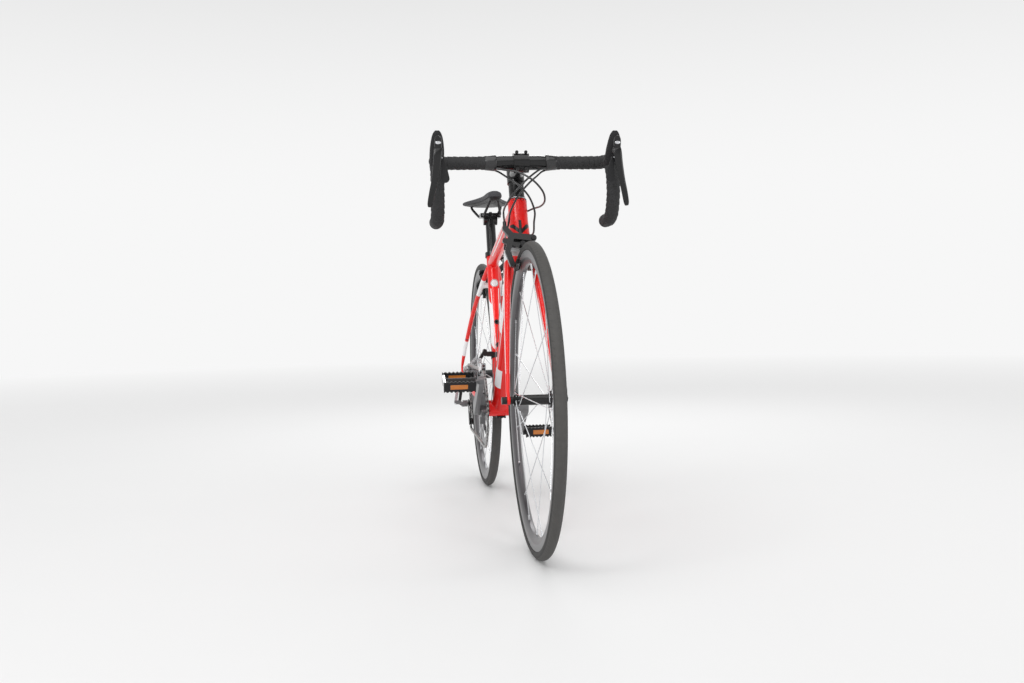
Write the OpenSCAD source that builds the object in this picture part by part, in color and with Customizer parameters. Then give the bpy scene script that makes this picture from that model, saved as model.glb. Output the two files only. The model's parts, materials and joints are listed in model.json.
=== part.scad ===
// Road bicycle, built as an assembly of separate pieces.
// X points forward, Y to the rider's left and Z up. The origin is on the ground, midway between the axles.

/* [Wheels] */
// Distance between the two axles
wheelbase = 978; // [960:1:1200]
// Outer radius of a tyre
tyre_r = 336; // [334:0.5:338]
// Width of a tyre
tyre_w = 25; // [23:0.5:28]
// Radius of the bead seat
bead_r = 311; // [311]
// Depth of a rim below its outer edge
rim_depth = 28; // [22:1:34]
// Width of a rim across the brake tracks
rim_w = 20; // [20]
// Width of the front hub between the fork tips
front_hub_w = 100; // [100]
// Width of the rear hub between the dropouts
rear_hub_w = 130; // [130]
// Spokes in the front wheel
front_spoke_n = 20; // [16:4:32]
// Spokes in the rear wheel
rear_spoke_n = 24; // [16:4:32]
// Diameter of a spoke
spoke_d = 2; // [1.6:0.1:2.3]

/* [Frame] */
// Length of a chainstay from the crank axis to the rear axle
chainstay_l = 405; // [403:1:425]
// Height of the axles above the crank axis
bb_drop = 68; // [60:1:80]
// Angle of the steering axis above the horizontal
head_angle = 73; // [71:0.5:75]
// Angle of the seat tube above the horizontal
seat_angle = 74; // [72:0.5:76]
// Forward offset of the front axle from the steering axis
fork_rake = 43; // [40:1:50]
// Height of the crown race above the axle's foot on the steering axis
fork_l = 366; // [364:1:372]
// Length of the head tube
head_tube_l = 103; // [95:1:220]
// Diameter of the head tube at its top
head_tube_d = 44; // [44:0.5:48]
// Length of the seat tube from the crank axis
seat_tube_l = 437; // [420:1:560]
// Outer diameter of the seat tube
seat_tube_d = 33; // [31:0.5:36]
// Depth of the down tube
down_tube_d = 43; // [36:1:48]
// Depth of the top tube
top_tube_d = 34; // [28:1:38]
// Width of the bottom bracket shell
bb_shell_w = 68; // [68]
// Outer diameter of the bottom bracket shell
bb_shell_d = 44; // [42:1:46]

/* [Cockpit] */
// Length of the stem between the steerer and the handlebar
stem_l = 90; // [70:5:130]
// Tilt of the stem from square to the steerer
stem_tilt = -6; // [-17:1:6]
// Width of the handlebar between the centres of its drops
bar_w = 380; // [360:10:460]
// Forward reach of the handlebar
bar_reach = 78; // [70:1:90]
// Drop of the handlebar
bar_drop = 129; // [115:1:150]
// Diameter of the handlebar at the stem
bar_clamp_d = 31.8; // [31.8]
// Diameter of the handlebar under the tape
bar_d = 23.8; // [22.2:0.2:24]
// Thickness of the bar tape
tape_t = 3; // [2:0.5:4]
// Diameter of the steerer
steerer_d = 28.6; // [28.6]

/* [Seat] */
// Diameter of the seatpost
seatpost_d = 27.2; // [25.4:0.2:27.2]
// Length of seatpost that shows above the seat tube
seatpost_out = 93; // [60:1:200]
// Length of the saddle
saddle_l = 270; // [240:1:290]
// Width of the saddle
saddle_w = 134; // [128:1:160]
// Diameter of a saddle rail
rail_d = 7; // [7]

/* [Drive] */
// Length of a crank
crank_l = 170; // [165:2.5:180]
// Angle of the right crank above the horizontal
crank_angle = 29; // [0:1:90]
// Teeth on the outer chainring
ring_teeth = 50; // [48:1:50]
// Teeth on the inner chainring
inner_teeth = 34; // [34:1:36]
// Distance of the chain from the middle plane
chain_line = 46.2; // [45.8:0.1:46.6]
// Length of a pedal's platform
pedal_w = 86; // [80:1:100]
// Tilt of the right pedal
pedal_tilt = 18; // [0:1:30]
// Angle of the derailleur cage below the horizontal
cage_angle = 71; // [66:0.5:78]

/* [Fits] */
// Radial gap between a pin and its bore
pin_gap = 0.05; // [0.03:0.01:0.08]
// Gap between moving faces
gap = 0.4; // [0.3:0.05:0.5]

/* [Hidden] */
$fn = 48;

red = [0.88, 0.16, 0.14];
black = [0.08, 0.08, 0.09];
grey = [0.48, 0.48, 0.49];
silver = [0.75, 0.76, 0.78];
rubber = [0.2, 0.2, 0.19];
amber = [0.9, 0.5, 0.1];

// Main points
rear_axle_p = [-wheelbase / 2, 0, tyre_r];
front_axle_p = [wheelbase / 2, 0, tyre_r];
bb = rear_axle_p + [sqrt(pow(chainstay_l, 2) - pow(bb_drop, 2)), 0, -bb_drop];
steer_foot = front_axle_p - fork_rake * [sin(head_angle), 0, cos(head_angle)];
function steer_pt(u, y, s) = steer_foot
  + [u * sin(head_angle) - s * cos(head_angle), y, u * cos(head_angle) + s * sin(head_angle)];
function seat_pt(u, y, s) = bb
  + [u * sin(seat_angle) - s * cos(seat_angle), y, u * cos(seat_angle) + s * sin(seat_angle)];
module steering() {
  translate(steer_foot) rotate([0, head_angle - 90, 0]) children();
}
module seating() {
  translate(bb) rotate([0, seat_angle - 90, 0]) children();
}

// Steering parts, as heights along the steering axis
head_low = fork_l + 4;
head_top = head_low + head_tube_l;
cone_top = head_top + 11;
stem_low = cone_top + 32;
stem_h = 38;
stem_mid = stem_low + stem_h / 2;
steerer_r = steerer_d / 2;
bar_r = bar_d / 2;
bar_clamp_r = bar_clamp_d / 2;
bar_c = steer_pt(stem_l * cos(stem_tilt), 0, stem_mid + stem_l * sin(stem_tilt));

// Brakes: the bolt is this far from the axle, and the pads press on the middle of the track
brake_s = tyre_r + 16;
pad_s = bead_r - 6;
brake_tilt = 55;
rear_bridge = rear_axle_p - fork_rake * [-sin(brake_tilt), 0, cos(brake_tilt)]
  + brake_s * [cos(brake_tilt), 0, sin(brake_tilt)];
module rear_braking() {
  translate(rear_axle_p) rotate([0, 90 - brake_tilt, 0]) rotate([0, 0, 180])
    translate([-fork_rake, 0, 0]) children();
}

// Smooth curve through hand-set points, n steps between two of them
function cr(a, b, c, d, t) = 0.5 * (2 * b + (c - a) * t + (2 * a - 5 * b + 4 * c - d) * t * t
  + (3 * b - a - 3 * c + d) * t * t * t);
function spline(p, n) = concat(
  [for (i = [0:len(p) - 2], j = [0:n - 1])
    cr(p[max(i - 1, 0)], p[i], p[i + 1], p[min(i + 2, len(p) - 1)], j / n)],
  [p[len(p) - 1]]);
function xyz(v) = [v[0], v[1], v[2]];
function unit(v) = v / norm(v);
function ring(c, t, side, a, b, m) =
  let (n1 = unit(side - (side * t) * t), n2 = cross(t, n1))
  [for (j = [0:m - 1]) c + a * cos(360 * j / m) * n1 + b * sin(360 * j / m) * n2];
// Rings of m points round the path s, whose points are [x, y, z, half width, half depth]
function rings(s, side, m, grow) = [for (i = [0:len(s) - 1], p =
  ring(xyz(s[i]), unit(xyz(s[min(i + 1, len(s) - 1)]) - xyz(s[max(i - 1, 0)])), side,
    s[i][3] + grow, s[i][4] + grow, m)) p];
function skin(n, m, k) = [for (i = [0:n - 2], j = [0:m - 1], h = [0, 1])
  let (a = k + i * m + j, b = k + i * m + (j + 1) % m) h == 0 ? [a, a + m, b + m] : [a, b + m, b]];
function flip(f) = [for (t = f) [t[2], t[1], t[0]]];

// Solid limb along points q
module limb(q, side = [0, 1, 0], n = 4, m = 12, grow = 0) {
  s = n > 1 ? spline(q, n) : q;
  polyhedron(rings(s, side, m, grow), concat([[for (j = [0:m - 1]) j]], skin(len(s), m, 0),
    [[for (j = [0:m - 1]) len(s) * m - 1 - j]]));
}
// Sleeve of wall t round the path s
module sleeve(s, t, side = [0, 1, 0], m = 16) {
  n = len(s);
  inner = n * m;
  caps = [for (j = [0:m - 1], h = [0, 1]) let (k = (j + 1) % m)
    each h == 0 ? [[j, k, inner + k], [j, inner + k, inner + j]]
    : [[inner - m + j, 2 * inner - m + j, 2 * inner - m + k], [inner - m + j, 2 * inner - m + k, inner - m + k]]];
  polyhedron(concat(rings(s, side, m, t), rings(s, side, m, pin_gap)),
    concat(skin(n, m, 0), flip(skin(n, m, inner)), caps));
}
// Round cable or housing of radius r along points p
module cable(p, r, n = 5, m = 8) {
  limb([for (v = p) [v[0], v[1], v[2], r, r]], [0.3, 0.2, 0.93], n, m);
}
// Cylinder of radius r along Y from y0 to y1, at the origin
module rod_y(r, y0, y1) {
  translate([0, y0, 0]) rotate([-90, 0, 0]) cylinder(h = y1 - y0, r = r);
}
// Cylinder of radius r along X from x0 to x1
module rod_x(r, x0, x1) {
  translate([x0, 0, 0]) rotate([0, 90, 0]) cylinder(h = x1 - x0, r = r);
}
// Cylinder between two points
module rod(a, b, r) {
  d = b - a;
  translate(a) rotate([0, acos(d[2] / norm(d)), atan2(d[1], d[0])]) cylinder(h = norm(d), r = r);
}
// Flat outline in the XZ plane, extruded from y0 to y1
module plate_y(y0, y1) {
  translate([0, y1, 0]) rotate([90, 0, 0]) linear_extrude(y1 - y0) children();
}
// Flat outline in the YZ plane, extruded from x0 to x1
module plate_x(x0, x1) {
  translate([x0, 0, 0]) rotate([90, 0, 90]) linear_extrude(x1 - x0) children();
}
// Bar outline with round ends of radii r0 and r1, its straight sides a hair inside the tangents
side_inset = 0.03;
module bar2d(p0, r0, p1, r1) {
  d = p1 - p0;
  l = norm(d);
  a = atan2(d[1], d[0]);
  t = acos((r0 - r1) / l);
  u = r0 - side_inset;
  v = r1 - side_inset;
  translate(p0) circle(r0);
  translate(p1) circle(r1);
  polygon([p0 + u * [cos(a + t), sin(a + t)], p0 + u * [cos(a - t), sin(a - t)],
    p1 + v * [cos(a - t), sin(a - t)], p1 + v * [cos(a + t), sin(a + t)]]);
}
// Mirror image across the middle plane as well
module both() {
  children();
  mirror([0, 1, 0]) children();
}

// Frame
module head_tube_body() {
  steering() translate([0, 0, head_low]) rotate_extrude($fn = 64)
    polygon([[0, 0], [head_tube_d / 2 + 2.5, 0], [head_tube_d / 2 + 2.5, 12],
      [head_tube_d / 2, head_tube_l * 0.5], [head_tube_d / 2, head_tube_l], [0, head_tube_l]]);
}
bearing_r = 20.9;
bearing_h = 7;
module head_tube() {
  color(red) difference() {
    head_tube_body();
    steering() {
      translate([0, 0, head_low - 1]) cylinder(h = head_tube_l + 2, r = 17);
      translate([0, 0, head_low - 1]) cylinder(h = bearing_h + 1, r = bearing_r);
      translate([0, 0, head_top - bearing_h]) cylinder(h = bearing_h + 1, r = bearing_r);
    }
  }
}
module bb_shell_body() {
  translate(bb) rod_y(bb_shell_d / 2, -bb_shell_w / 2, bb_shell_w / 2);
}
module seat_tube_body() {
  seating() cylinder(h = seat_tube_l, r = seat_tube_d / 2);
}
cup_r = 17.5;
module bottom_bracket_shell() {
  color(red) difference() {
    bb_shell_body();
    translate(bb) rod_y(cup_r, -bb_shell_w, bb_shell_w);
  }
}
module seat_tube() {
  color(red) difference() {
    seat_tube_body();
    bb_shell_body();
    seating() {
      translate([0, 0, bb_shell_d / 2 + 4]) cylinder(h = seat_tube_l, r = seatpost_d / 2 + pin_gap);
      translate([-seat_tube_d, -1, seat_tube_l - 22]) cube([seat_tube_d, 2, 30]);
      for (s = boss_seat) translate([0, 0, s]) rod_x(boss_r, 0, seat_tube_d);
    }
  }
}
top_a = steer_pt(0, 0, head_top - 20);
top_b = seat_pt(0, 0, seat_tube_l - 31);
top_mid = (top_a + top_b) / 2 + [0, 0, 4];
module top_tube() {
  r = top_tube_d / 2;
  color(red) difference() {
    limb([concat(top_a, [r, r]), concat(top_mid, [r - 1, r - 2]), concat(top_b, [r - 3, r - 3])],
      n = 5, m = 20);
    head_tube_body();
    seat_tube_body();
    steering() translate([0, 0, head_top]) cylinder(h = top_tube_d * 2, r = head_tube_d);
  }
}
down_a = steer_pt(0, 0, head_low + 44);
down_dir = unit(bb - down_a);
down_up = [-down_dir[2], 0, down_dir[0]];
// Bottle bosses, as distances from the crank axis
boss_down = [180, 244];
boss_seat = [170, 234];
boss_r = 4.6;
module down_tube() {
  r = down_tube_d / 2;
  mid = (down_a + bb) / 2;
  color(red) difference() {
    limb([concat(down_a, [r - 1, r]), concat(mid, [r, r]), concat(bb, [r + 3, r - 1])], n = 6, m = 20);
    head_tube_body();
    seat_tube_body();
    bb_shell_body();
    for (s = boss_down) rod(bb - s * down_dir, bb - s * down_dir - 40 * down_up, boss_r);
  }
}
drop_t = 6;
drop_y = rear_hub_w / 2;
hanger = [-5, -28];
axle_r = 4.5;
module dropout_2d() {
  difference() {
    union() {
      circle(14);
      bar2d([0, 0], 11, [22, 3], 8);
      bar2d([0, 0], 10, [3, 22], 7);
    }
    circle(axle_r + pin_gap);
    translate([-axle_r + 1, -30]) square([2 * axle_r - 2, 30]);
  }
}
module chainstay(side) {
  color(red) {
    difference() {
      limb([concat(bb + [-4, side * 20, -4], [7, 11]), concat(bb + [-62, side * 27, 0], [7, 11]),
        concat(rear_axle_p + [240, side * 43, -51], [7.5, 10]),
        concat(rear_axle_p + [90, side * 61.8, -19], [6.8, 8.5]),
        concat(rear_axle_p + [20, side * (drop_y + 3), 0], [4.5, 6])], n = 4, m = 12);
      bb_shell_body();
      seat_tube_body();
      translate(rear_axle_p) rod_y(15, -90, 90);
    }
    translate(rear_axle_p) plate_y(side > 0 ? drop_y : -drop_y - drop_t,
      side > 0 ? drop_y + drop_t : -drop_y) {
      dropout_2d();
      if (side < 0) difference() {
        bar2d([-9, -9], 5, hanger, 10);
        translate(hanger) circle(4);
        circle(14);
      }
    }
  }
}
module chainstays() {
  chainstay(1);
  chainstay(-1);
}
function stay_q(side) = [concat(seat_pt(0, side * 13, seat_tube_l - 45), [7, 8]),
  concat(rear_bridge + [2, side * 26, 2], [7, 8]),
  concat(rear_axle_p + [144, side * 44, 186], [6.5, 7.5]),
  concat(rear_axle_p + [50, side * 57, 100], [6, 7]),
  concat(rear_axle_p + [12, side * 65, 46], [5, 6.5]),
  concat(rear_axle_p + [4, side * (drop_y + 3.2), 22], [3.2, 5])];
module seatstays() {
  color(red) difference() {
    union() {
      for (side = [-1, 1]) difference() {
        limb(stay_q(side), n = 4, m = 12);
        translate(rear_axle_p) plate_y(-90, 90) {
          circle(14);
          bar2d([0, 0], 10, [3, 22], 7);
        }
      }
      translate(rear_bridge) rod_y(8, -22, 22);
    }
    seat_tube_body();
    rear_braking() translate([0, 0, brake_s]) rod_x(3, -20, 20);
  }
}
cup_w = 7;
module bearing_cups() {
  color(black) {
    steering() for (s = [head_low, head_top - bearing_h]) translate([0, 0, s]) difference() {
      cylinder(h = bearing_h, r = bearing_r);
      translate([0, 0, -1]) cylinder(h = bearing_h + 2, r = steerer_r + pin_gap);
    }
    translate(bb) both() difference() {
      union() {
        rod_y(cup_r, 20, bb_shell_w / 2);
        rod_y(bb_shell_d / 2, bb_shell_w / 2, bb_shell_w / 2 + cup_w);
      }
      rod_y(spindle_r + pin_gap, 0, 60);
    }
  }
}
collar_h = 12;
module seat_collar() {
  r = seat_tube_d / 2;
  seating() translate([0, 0, seat_tube_l - collar_h]) {
    color(black) difference() {
      union() {
        cylinder(h = collar_h, r = r + 3);
        translate([-r - 12, -8, 1]) cube([14, 16, collar_h - 2]);
      }
      translate([0, 0, -1]) cylinder(h = collar_h + 2, r = r);
      translate([-r - 20, -1, -1]) cube([r + 20, 2, collar_h + 2]);
      translate([-r - 7, 0, collar_h / 2]) rod_y(2.6, -20, 20);
    }
    color(silver) translate([-r - 7, 0, collar_h / 2]) {
      rod_y(2.5, -8.2, 9);
      rod_y(4, -12, -8.1);
      rod_y(4, 8.1, 11);
    }
  }
}
top_dir = unit(top_b - top_a);
stop_top = top_a + 52 * top_dir + [0, top_tube_d / 2 + 4.2, 0];
stop_rear = top_b - 60 * top_dir + [0, top_tube_d / 2 + 1.6, 0];
stop_front = [for (side = [-1, 1]) down_a + 62 * down_dir
  + [0, side * (down_tube_d / 2 + 4.2), 0]];
chain_stop = rear_axle_p + [96, -(61 + 11), -20];
module boss(base, dir, lift) {
  difference() {
    union() {
      rod(base - 11 * dir, base + lift * dir, boss_r - 0.05);
      rod(base + lift * dir, base + (lift + 1.2) * dir, 6.5);
    }
    rod(base - 12 * dir, base + 20 * dir, 2.5);
  }
}
seat_front = [sin(seat_angle), 0, cos(seat_angle)];
module frame_fittings() {
  color(black) {
    for (s = boss_down) boss(bb - s * down_dir - (down_tube_d / 2) * down_up, -down_up, 0.4);
    for (s = boss_seat) boss(seat_pt(seat_tube_d / 2, 0, s), seat_front, 0.1);
    for (p = stop_front) rod(p - 7 * down_dir, p + 8 * down_dir, 4);
    for (p = [stop_top, stop_rear]) rod(p - 7 * top_dir, p + 8 * top_dir, 4);
    translate(bb + [-6, 0, -bb_shell_d / 2 - 3.1]) difference() {
      translate([-14, -12, -2]) cube([28, 24, 5]);
      for (y = [-5, 5]) translate([0, y, -2]) rod_x(1.4, -20, 20);
    }
    rod(chain_stop + [8, 0, -1.5], chain_stop + [-8, 0, 1.5], 3.5);
  }
}

// Fork and headset
blade_top = fork_l - 16;
function blade_q(side) = [for (t = [0, 0.15, 0.35, 0.6, 0.85, 1])
  [fork_rake * pow(t, 1.8), side * (27.5 + (front_hub_w / 2 + 4 - 27.5) * pow(t, 0.85)),
    blade_top * (1 - t) + 8 * t, 9.5 - 5 * t, 17 - 9.5 * t]];
fork_tip_t = 7;
module fork() {
  color(red) steering() {
    difference() {
      union() {
        for (side = [-1, 1]) limb(blade_q(side), n = 3, m = 14);
        hull() {
          translate([0, 0, fork_l - 4]) cylinder(h = 4, r = 23);
          for (y = [-27.5, 27.5]) translate([0, y, blade_top - 4]) scale([17 / 9.5, 1, 1])
            cylinder(h = 6, r = 9.5, $fn = 24);
        }
      }
      translate([fork_rake, 0, 0]) rod_y(11, -80, 80);
      translate([0, 0, brake_s]) rod_x(3.1, -60, 60);
      translate([crown_flat, -9, brake_s - 9]) cube([20, 18, 18]);
      translate([fork_rake, 0, 0]) rod_y(tyre_r + 4, -tyre_w / 2 - 4, tyre_w / 2 + 4, $fn = 128);
    }
    translate([0, 0, fork_l]) cylinder(h = head_low - fork_l - gap, r = bearing_r - 2);
    translate([0, 0, fork_l]) difference() {
      cylinder(h = stem_low + stem_h - 3 - fork_l, r = steerer_r);
      translate([0, 0, 20]) cylinder(h = 600, r = steerer_r - 2.5);
    }
    for (side = [-1, 1]) translate([fork_rake, 0, 0])
      plate_y(side > 0 ? front_hub_w / 2 : -front_hub_w / 2 - fork_tip_t,
        side > 0 ? front_hub_w / 2 + fork_tip_t : -front_hub_w / 2) difference() {
        union() {
          circle(10.9);
          bar2d([0, 0], 9, [-1.6, 14], 6.5);
        }
        circle(axle_r + pin_gap);
        translate([-axle_r + 1, -30]) square([2 * axle_r - 2, 30]);
      }
  }
}
module headset_spacers() {
  steering() {
    color(silver) translate([0, 0, head_top + gap]) difference() {
      cylinder(h = 2, r = head_tube_d / 2);
      translate([0, 0, -1]) cylinder(h = 4, r = steerer_r);
    }
    color(black) {
      difference() {
        union() {
          translate([0, 0, head_top + gap + 2.1])
            cylinder(h = cone_top - head_top - gap - 2.1, r1 = head_tube_d / 2 - 1, r2 = 17.5);
          for (k = [0:2]) translate([0, 0, cone_top + 0.1 + k * 10.6]) cylinder(h = 10.5, r = 17.5);
        }
        cylinder(h = 900, r = steerer_r);
      }
      translate([0, 0, stem_low + stem_h + 0.1]) difference() {
        cylinder(h = 5, r = 17.5);
        translate([0, 0, 1]) cylinder(h = 9, r = 4.5);
      }
      translate([0, 0, stem_low + stem_h + 1.3]) cylinder(h = 3, r = 4);
    }
  }
}
stem_w = 34;
module stem_shape() {
  cylinder(h = stem_h, r = 20, center = true);
  rotate([0, -stem_tilt, 0]) {
    rod_x(16, 8, stem_l - 12);
    translate([stem_l, 0, 0]) rod_y(bar_clamp_r + 6, -stem_w / 2, stem_w / 2);
  }
  translate([-26, -9, -15]) cube([12, 18, 30]);
}
module stem() {
  steering() translate([0, 0, stem_mid]) {
    color(black) difference() {
      stem_shape();
      cylinder(h = 80, r = steerer_r, center = true);
      translate([-40, -1, -30]) cube([40, 2, 60]);
      rotate([0, -stem_tilt, 0]) translate([stem_l, 0, 0]) {
        rod_y(bar_clamp_r, -40, 40);
        translate([1, -40, -40]) cube([1.5, 80, 80]);
        for (y = [-10, 10], z = [-19, 19]) translate([0, y, z]) rod_x(2.6, -8, 40);
      }
      for (z = [-10, 10]) translate([-22.4, 0, z]) rod_y(2.6, -20, 20);
    }
    color(silver) {
      rotate([0, -stem_tilt, 0]) translate([stem_l, 0, 0])
        for (y = [-10, 10], z = [-19, 19]) translate([0, y, z]) {
          rod_x(2.5, -7.5, 16.4);
          rod_x(3.8, 16.4, 19.4);
        }
      for (z = [-10, 10]) translate([-22.4, 0, z]) {
        rod_y(2.5, -9.5, 10);
        rod_y(3.8, 9.1, 12);
      }
    }
  }
}

// Handlebar path on the left side, as points [x, y, z, r, r] from the clamp to the end of the drop
hook_x = 30;
bend_r = 30;
half_w = bar_w / 2;
function bar_side(side) = concat(
  [for (v = [[60, 14], [88, bar_r], [125, bar_r]]) [0, v[0], 0, v[1], v[1]]],
  [for (a = [0:18:90]) [bend_r * (1 - cos(a)), half_w - bend_r + bend_r * sin(a), 0, bar_r, bar_r]],
  [for (a = [75:-15:-90]) [hook_x + (bar_reach - hook_x) * cos(a), half_w,
    (sin(a) - 1) * bar_drop / 2, bar_r, bar_r]],
  [[hook_x - 17, half_w, -bar_drop, bar_r, bar_r], [hook_x - 35, half_w, -bar_drop, bar_r, bar_r]]);
function flip_y(p, side) = [for (v = p) [v[0], side * v[1], v[2], v[3], v[4]]];
function from(p, v0) = [for (i = [v0:len(p) - 1]) p[i]];
grip_y = 52;
function bar_from(y, side) = flip_y(concat([[0, y, 0, bar_clamp_r - 0.3, bar_clamp_r - 0.3]], bar_side(1)), side);
bar_up = [0.1, 0.05, 0.99];
module handlebar() {
  translate(bar_c) {
    color(black) rod_y(bar_clamp_r, -44, 44);
    color(black) for (side = [-1, 1]) limb(bar_from(42, side), bar_side_dir(side), 1, 16);
    color(black) for (side = [-1, 1]) translate([hook_x - 35.2, side * half_w, -bar_drop])
      rod_x(bar_r + tape_t, -4, 0);
  }
}
function bar_side_dir(side) = [0.35, -0.35 * side, 0.87];
tape_start = 56;
function tape_q(side) = flip_y(concat([[0, tape_start, 0, 14.6, 14.6]], from(bar_side(1), 0)), side);
module bar_tape() {
  color(rubber) translate(bar_c) for (side = [-1, 1])
    sleeve(tape_q(side), tape_t, bar_side_dir(side), 16);
}

// Levers, placed from the handlebar's clamp centre
pivot = [112, 0, 10];
lever_pin_r = 2.5;
hood_half = 13;
function hood_q() = [[60, 0, -12, 13, 13], [74, 0, 3, 15, 16], [88, 0, 18, 15, 16],
  [97, 0, 33, 13, 13], [102, 0, 45, 10, 9], [104, 0, 53, 5, 4]];
module lever_hoods() {
  for (side = [-1, 1]) translate(bar_c + [0, side * half_w, 0]) {
    color(black) difference() {
      union() {
        limb(hood_q(), n = 3, m = 14);
        plate_y(-5, 5) bar2d([88, 12], 8, [pivot[0], pivot[2]], 5.5);
      }
      translate(pivot) rod_y(lever_pin_r + pin_gap, -20, 20);
      translate([0, -side * half_w, 0]) limb(tape_q(side), bar_side_dir(side), 1, 16, tape_t + 0.1);
    }
  }
}
flare = 20;
paddle_pin_r = 1.6;
paddle_y = -7;
module brake_lever(side) {
  translate(bar_c + [0, side * half_w, 0]) {
    color(black) {
      limb([[pivot[0] + 9, 0, pivot[2] + 2, 9, 3.2], [pivot[0] + 11, side * 2, pivot[2] - 22, 8.5, 3.6],
        [pivot[0] + 11, side * 8, -50, 7, 3.4], [pivot[0] + 7, side * 16, -85, 6.5, 3.2],
        [pivot[0] + 3, side * flare, -108, 5, 2.6]], n = 4, m = 12);
      translate(pivot) for (y = [-1, 1]) difference() {
        plate_y(y > 0 ? 5 + gap : -5 - gap - 2.6, y > 0 ? 5 + gap + 2.6 : -5 - gap)
          bar2d([0, 0], 5.5, [8, 2], 5);
      }
      translate(pivot) rod_y(lever_pin_r, -8.6, 8.6);
      translate(pivot + [12.5, side * paddle_y, -16]) rod_x(paddle_pin_r, -13, 0);
      translate(pivot + [-0.5, side * paddle_y, -16]) rod_x(paddle_pin_r + 1.5, -1.5, 0);
    }
    color(silver) translate(pivot + [10, 0, 13]) rotate([0, 12, 0]) {
      plate_x(0, 4) bar2d([0, -6.5], 7.4, [0, 10], 7.6);
    }
  }
}
module brake_lever_left() { brake_lever(1); }
module brake_lever_right() { brake_lever(-1); }
module shift_paddle(side) {
  translate(bar_c + [0, side * half_w, 0] + pivot + [0, side * paddle_y, -16]) color(black)
    difference() {
      plate_x(gap, 2.6 + gap) {
        bar2d([0, 0], 4.5, [-side * 5, -18], 6);
        bar2d([-side * 5, -18], 6, [-side * 7, -42], 9);
      }
      rod_x(paddle_pin_r + pin_gap, -10, 10);
    }
}
module shift_paddle_left() { shift_paddle(1); }
module shift_paddle_right() { shift_paddle(-1); }

// Dual-pivot calliper in its own frame: X away from the bridge, Z away from the axle
arm_pivot_y = 24;
arm_pivot_s = brake_s + 14;
cable_y = -38;
brake_pin_r = 3;
pad_gap = 1.3;
pad_t = 8.6;
crown_flat = 20;
layer = [28, 37, 46];
module brake_pivot() {
  color(black) {
    translate([0, 0, brake_s]) {
      rod_x(brake_pin_r, -18, layer[2] + 2);
      rod_x(6, layer[2] + 0.2, layer[2] + 4);
    }
    translate([0, arm_pivot_y, arm_pivot_s]) {
      rod_x(brake_pin_r, layer[0] - 5, layer[2] + 2);
      rod_x(5, layer[2] + 0.2, layer[2] + 3);
    }
    plate_x(layer[0] - 5, layer[0] - gap) bar2d([0, brake_s], 8, [arm_pivot_y, arm_pivot_s], 6);
    translate([0, 0, brake_s]) rod_x(7, crown_flat + 0.1, layer[0] - 4);
  }
}
module pad(side) {
  y0 = rim_w / 2 + pad_gap;
  color(black) translate([fork_rake - 6, side * (y0 + pad_t / 2), pad_s])
    cube([50, pad_t, 10], center = true);
}
module arm_left_shape() {
  difference() {
    plate_x(layer[0], layer[1] - gap) {
      bar2d([26, pad_s], 6, [33, pad_s + 28], 6);
      bar2d([33, pad_s + 28], 6, [16, brake_s + 6], 7);
      bar2d([16, brake_s + 6], 7, [0, brake_s], 8.5);
      bar2d([0, brake_s], 8.5, [cable_y, brake_s + 12], 6);
    }
    translate([0, 0, brake_s]) rod_x(brake_pin_r + pin_gap, 0, 60);
    translate([0, arm_pivot_y, arm_pivot_s]) rod_x(brake_pin_r + 1.5, 0, 60);
  }
}
module arm_right_shape() {
  difference() {
    plate_x(layer[1], layer[2]) {
      bar2d([-26, pad_s], 6, [-35, pad_s + 30], 6);
      bar2d([-35, pad_s + 30], 6, [-24, arm_pivot_s + 6], 7);
      bar2d([-24, arm_pivot_s + 6], 7, [arm_pivot_y, arm_pivot_s], 7.5);
      bar2d([-24, arm_pivot_s + 6], 7, [cable_y, brake_s + 38], 6);
    }
    translate([0, arm_pivot_y, arm_pivot_s]) rod_x(brake_pin_r + pin_gap, 0, 60);
    translate([0, 0, brake_s]) rod_x(6 + 1, 0, 60);
  }
}
module arm_left() {
  color(black) arm_left_shape();
  pad(1);
  color(silver) translate([0, cable_y, brake_s + 12]) rod_x(3.5, layer[0] - 4, layer[0] - 0.1);
}
module arm_right() {
  color(black) arm_right_shape();
  pad(-1);
  color(silver) translate([barrel_u, cable_y, barrel_s])
    difference() {
      cylinder(h = barrel_h, r = 4);
      translate([0, 0, -1]) cylinder(h = barrel_h + 2, r = 1.2);
    }
}
module front_brake_pivot() { steering() brake_pivot(); }
module front_brake_arm_left() { steering() arm_left(); }
module front_brake_arm_right() { steering() arm_right(); }
module rear_brake_pivot() { rear_braking() brake_pivot(); }
module rear_brake_arm_right() { rear_braking() arm_left(); }
module rear_brake_arm_left() { rear_braking() arm_right(); }

// Wheels, about the axle
module tyre() {
  c = tyre_r - tyre_w / 2;
  color(rubber) rotate([90, 0, 0]) rotate_extrude($fn = 180) difference() {
    translate([c, 0]) circle(tyre_w / 2, $fn = 40);
    translate([c, 0]) circle(tyre_w / 2 - 2.2, $fn = 40);
    translate([0, -20]) square([bead_r + 0.2, 40]);
    translate([0, -20]) square([bead_r + 6.2, 20 - rim_w / 2 + 1.7]);
    translate([0, rim_w / 2 - 1.7]) square([bead_r + 6.2, 20]);
  }
}
module rim_section() {
  w = rim_w / 2;
  edge = bead_r + 6;
  low = edge - rim_depth;
  difference() {
    polygon([[edge, -w], [edge - 15, -w], [low + 4, -w + 3], [low, -3.5], [low, 3.5],
      [low + 4, w - 3], [edge - 15, w], [edge, w]]);
    polygon([[edge - 10, -w + 1.6], [edge - 15, -w + 1.6], [low + 5.5, -w + 5], [low + 2, -2.5],
      [low + 2, 2.5], [low + 5.5, w - 5], [edge - 15, w - 1.6], [edge - 10, w - 1.6]]);
    translate([bead_r, -w + 1.6]) square([20, 2 * w - 3.2]);
    translate([edge - 8.5, -4]) square([20, 8]);
  }
}
rim_low = bead_r + 6 - rim_depth;
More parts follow.
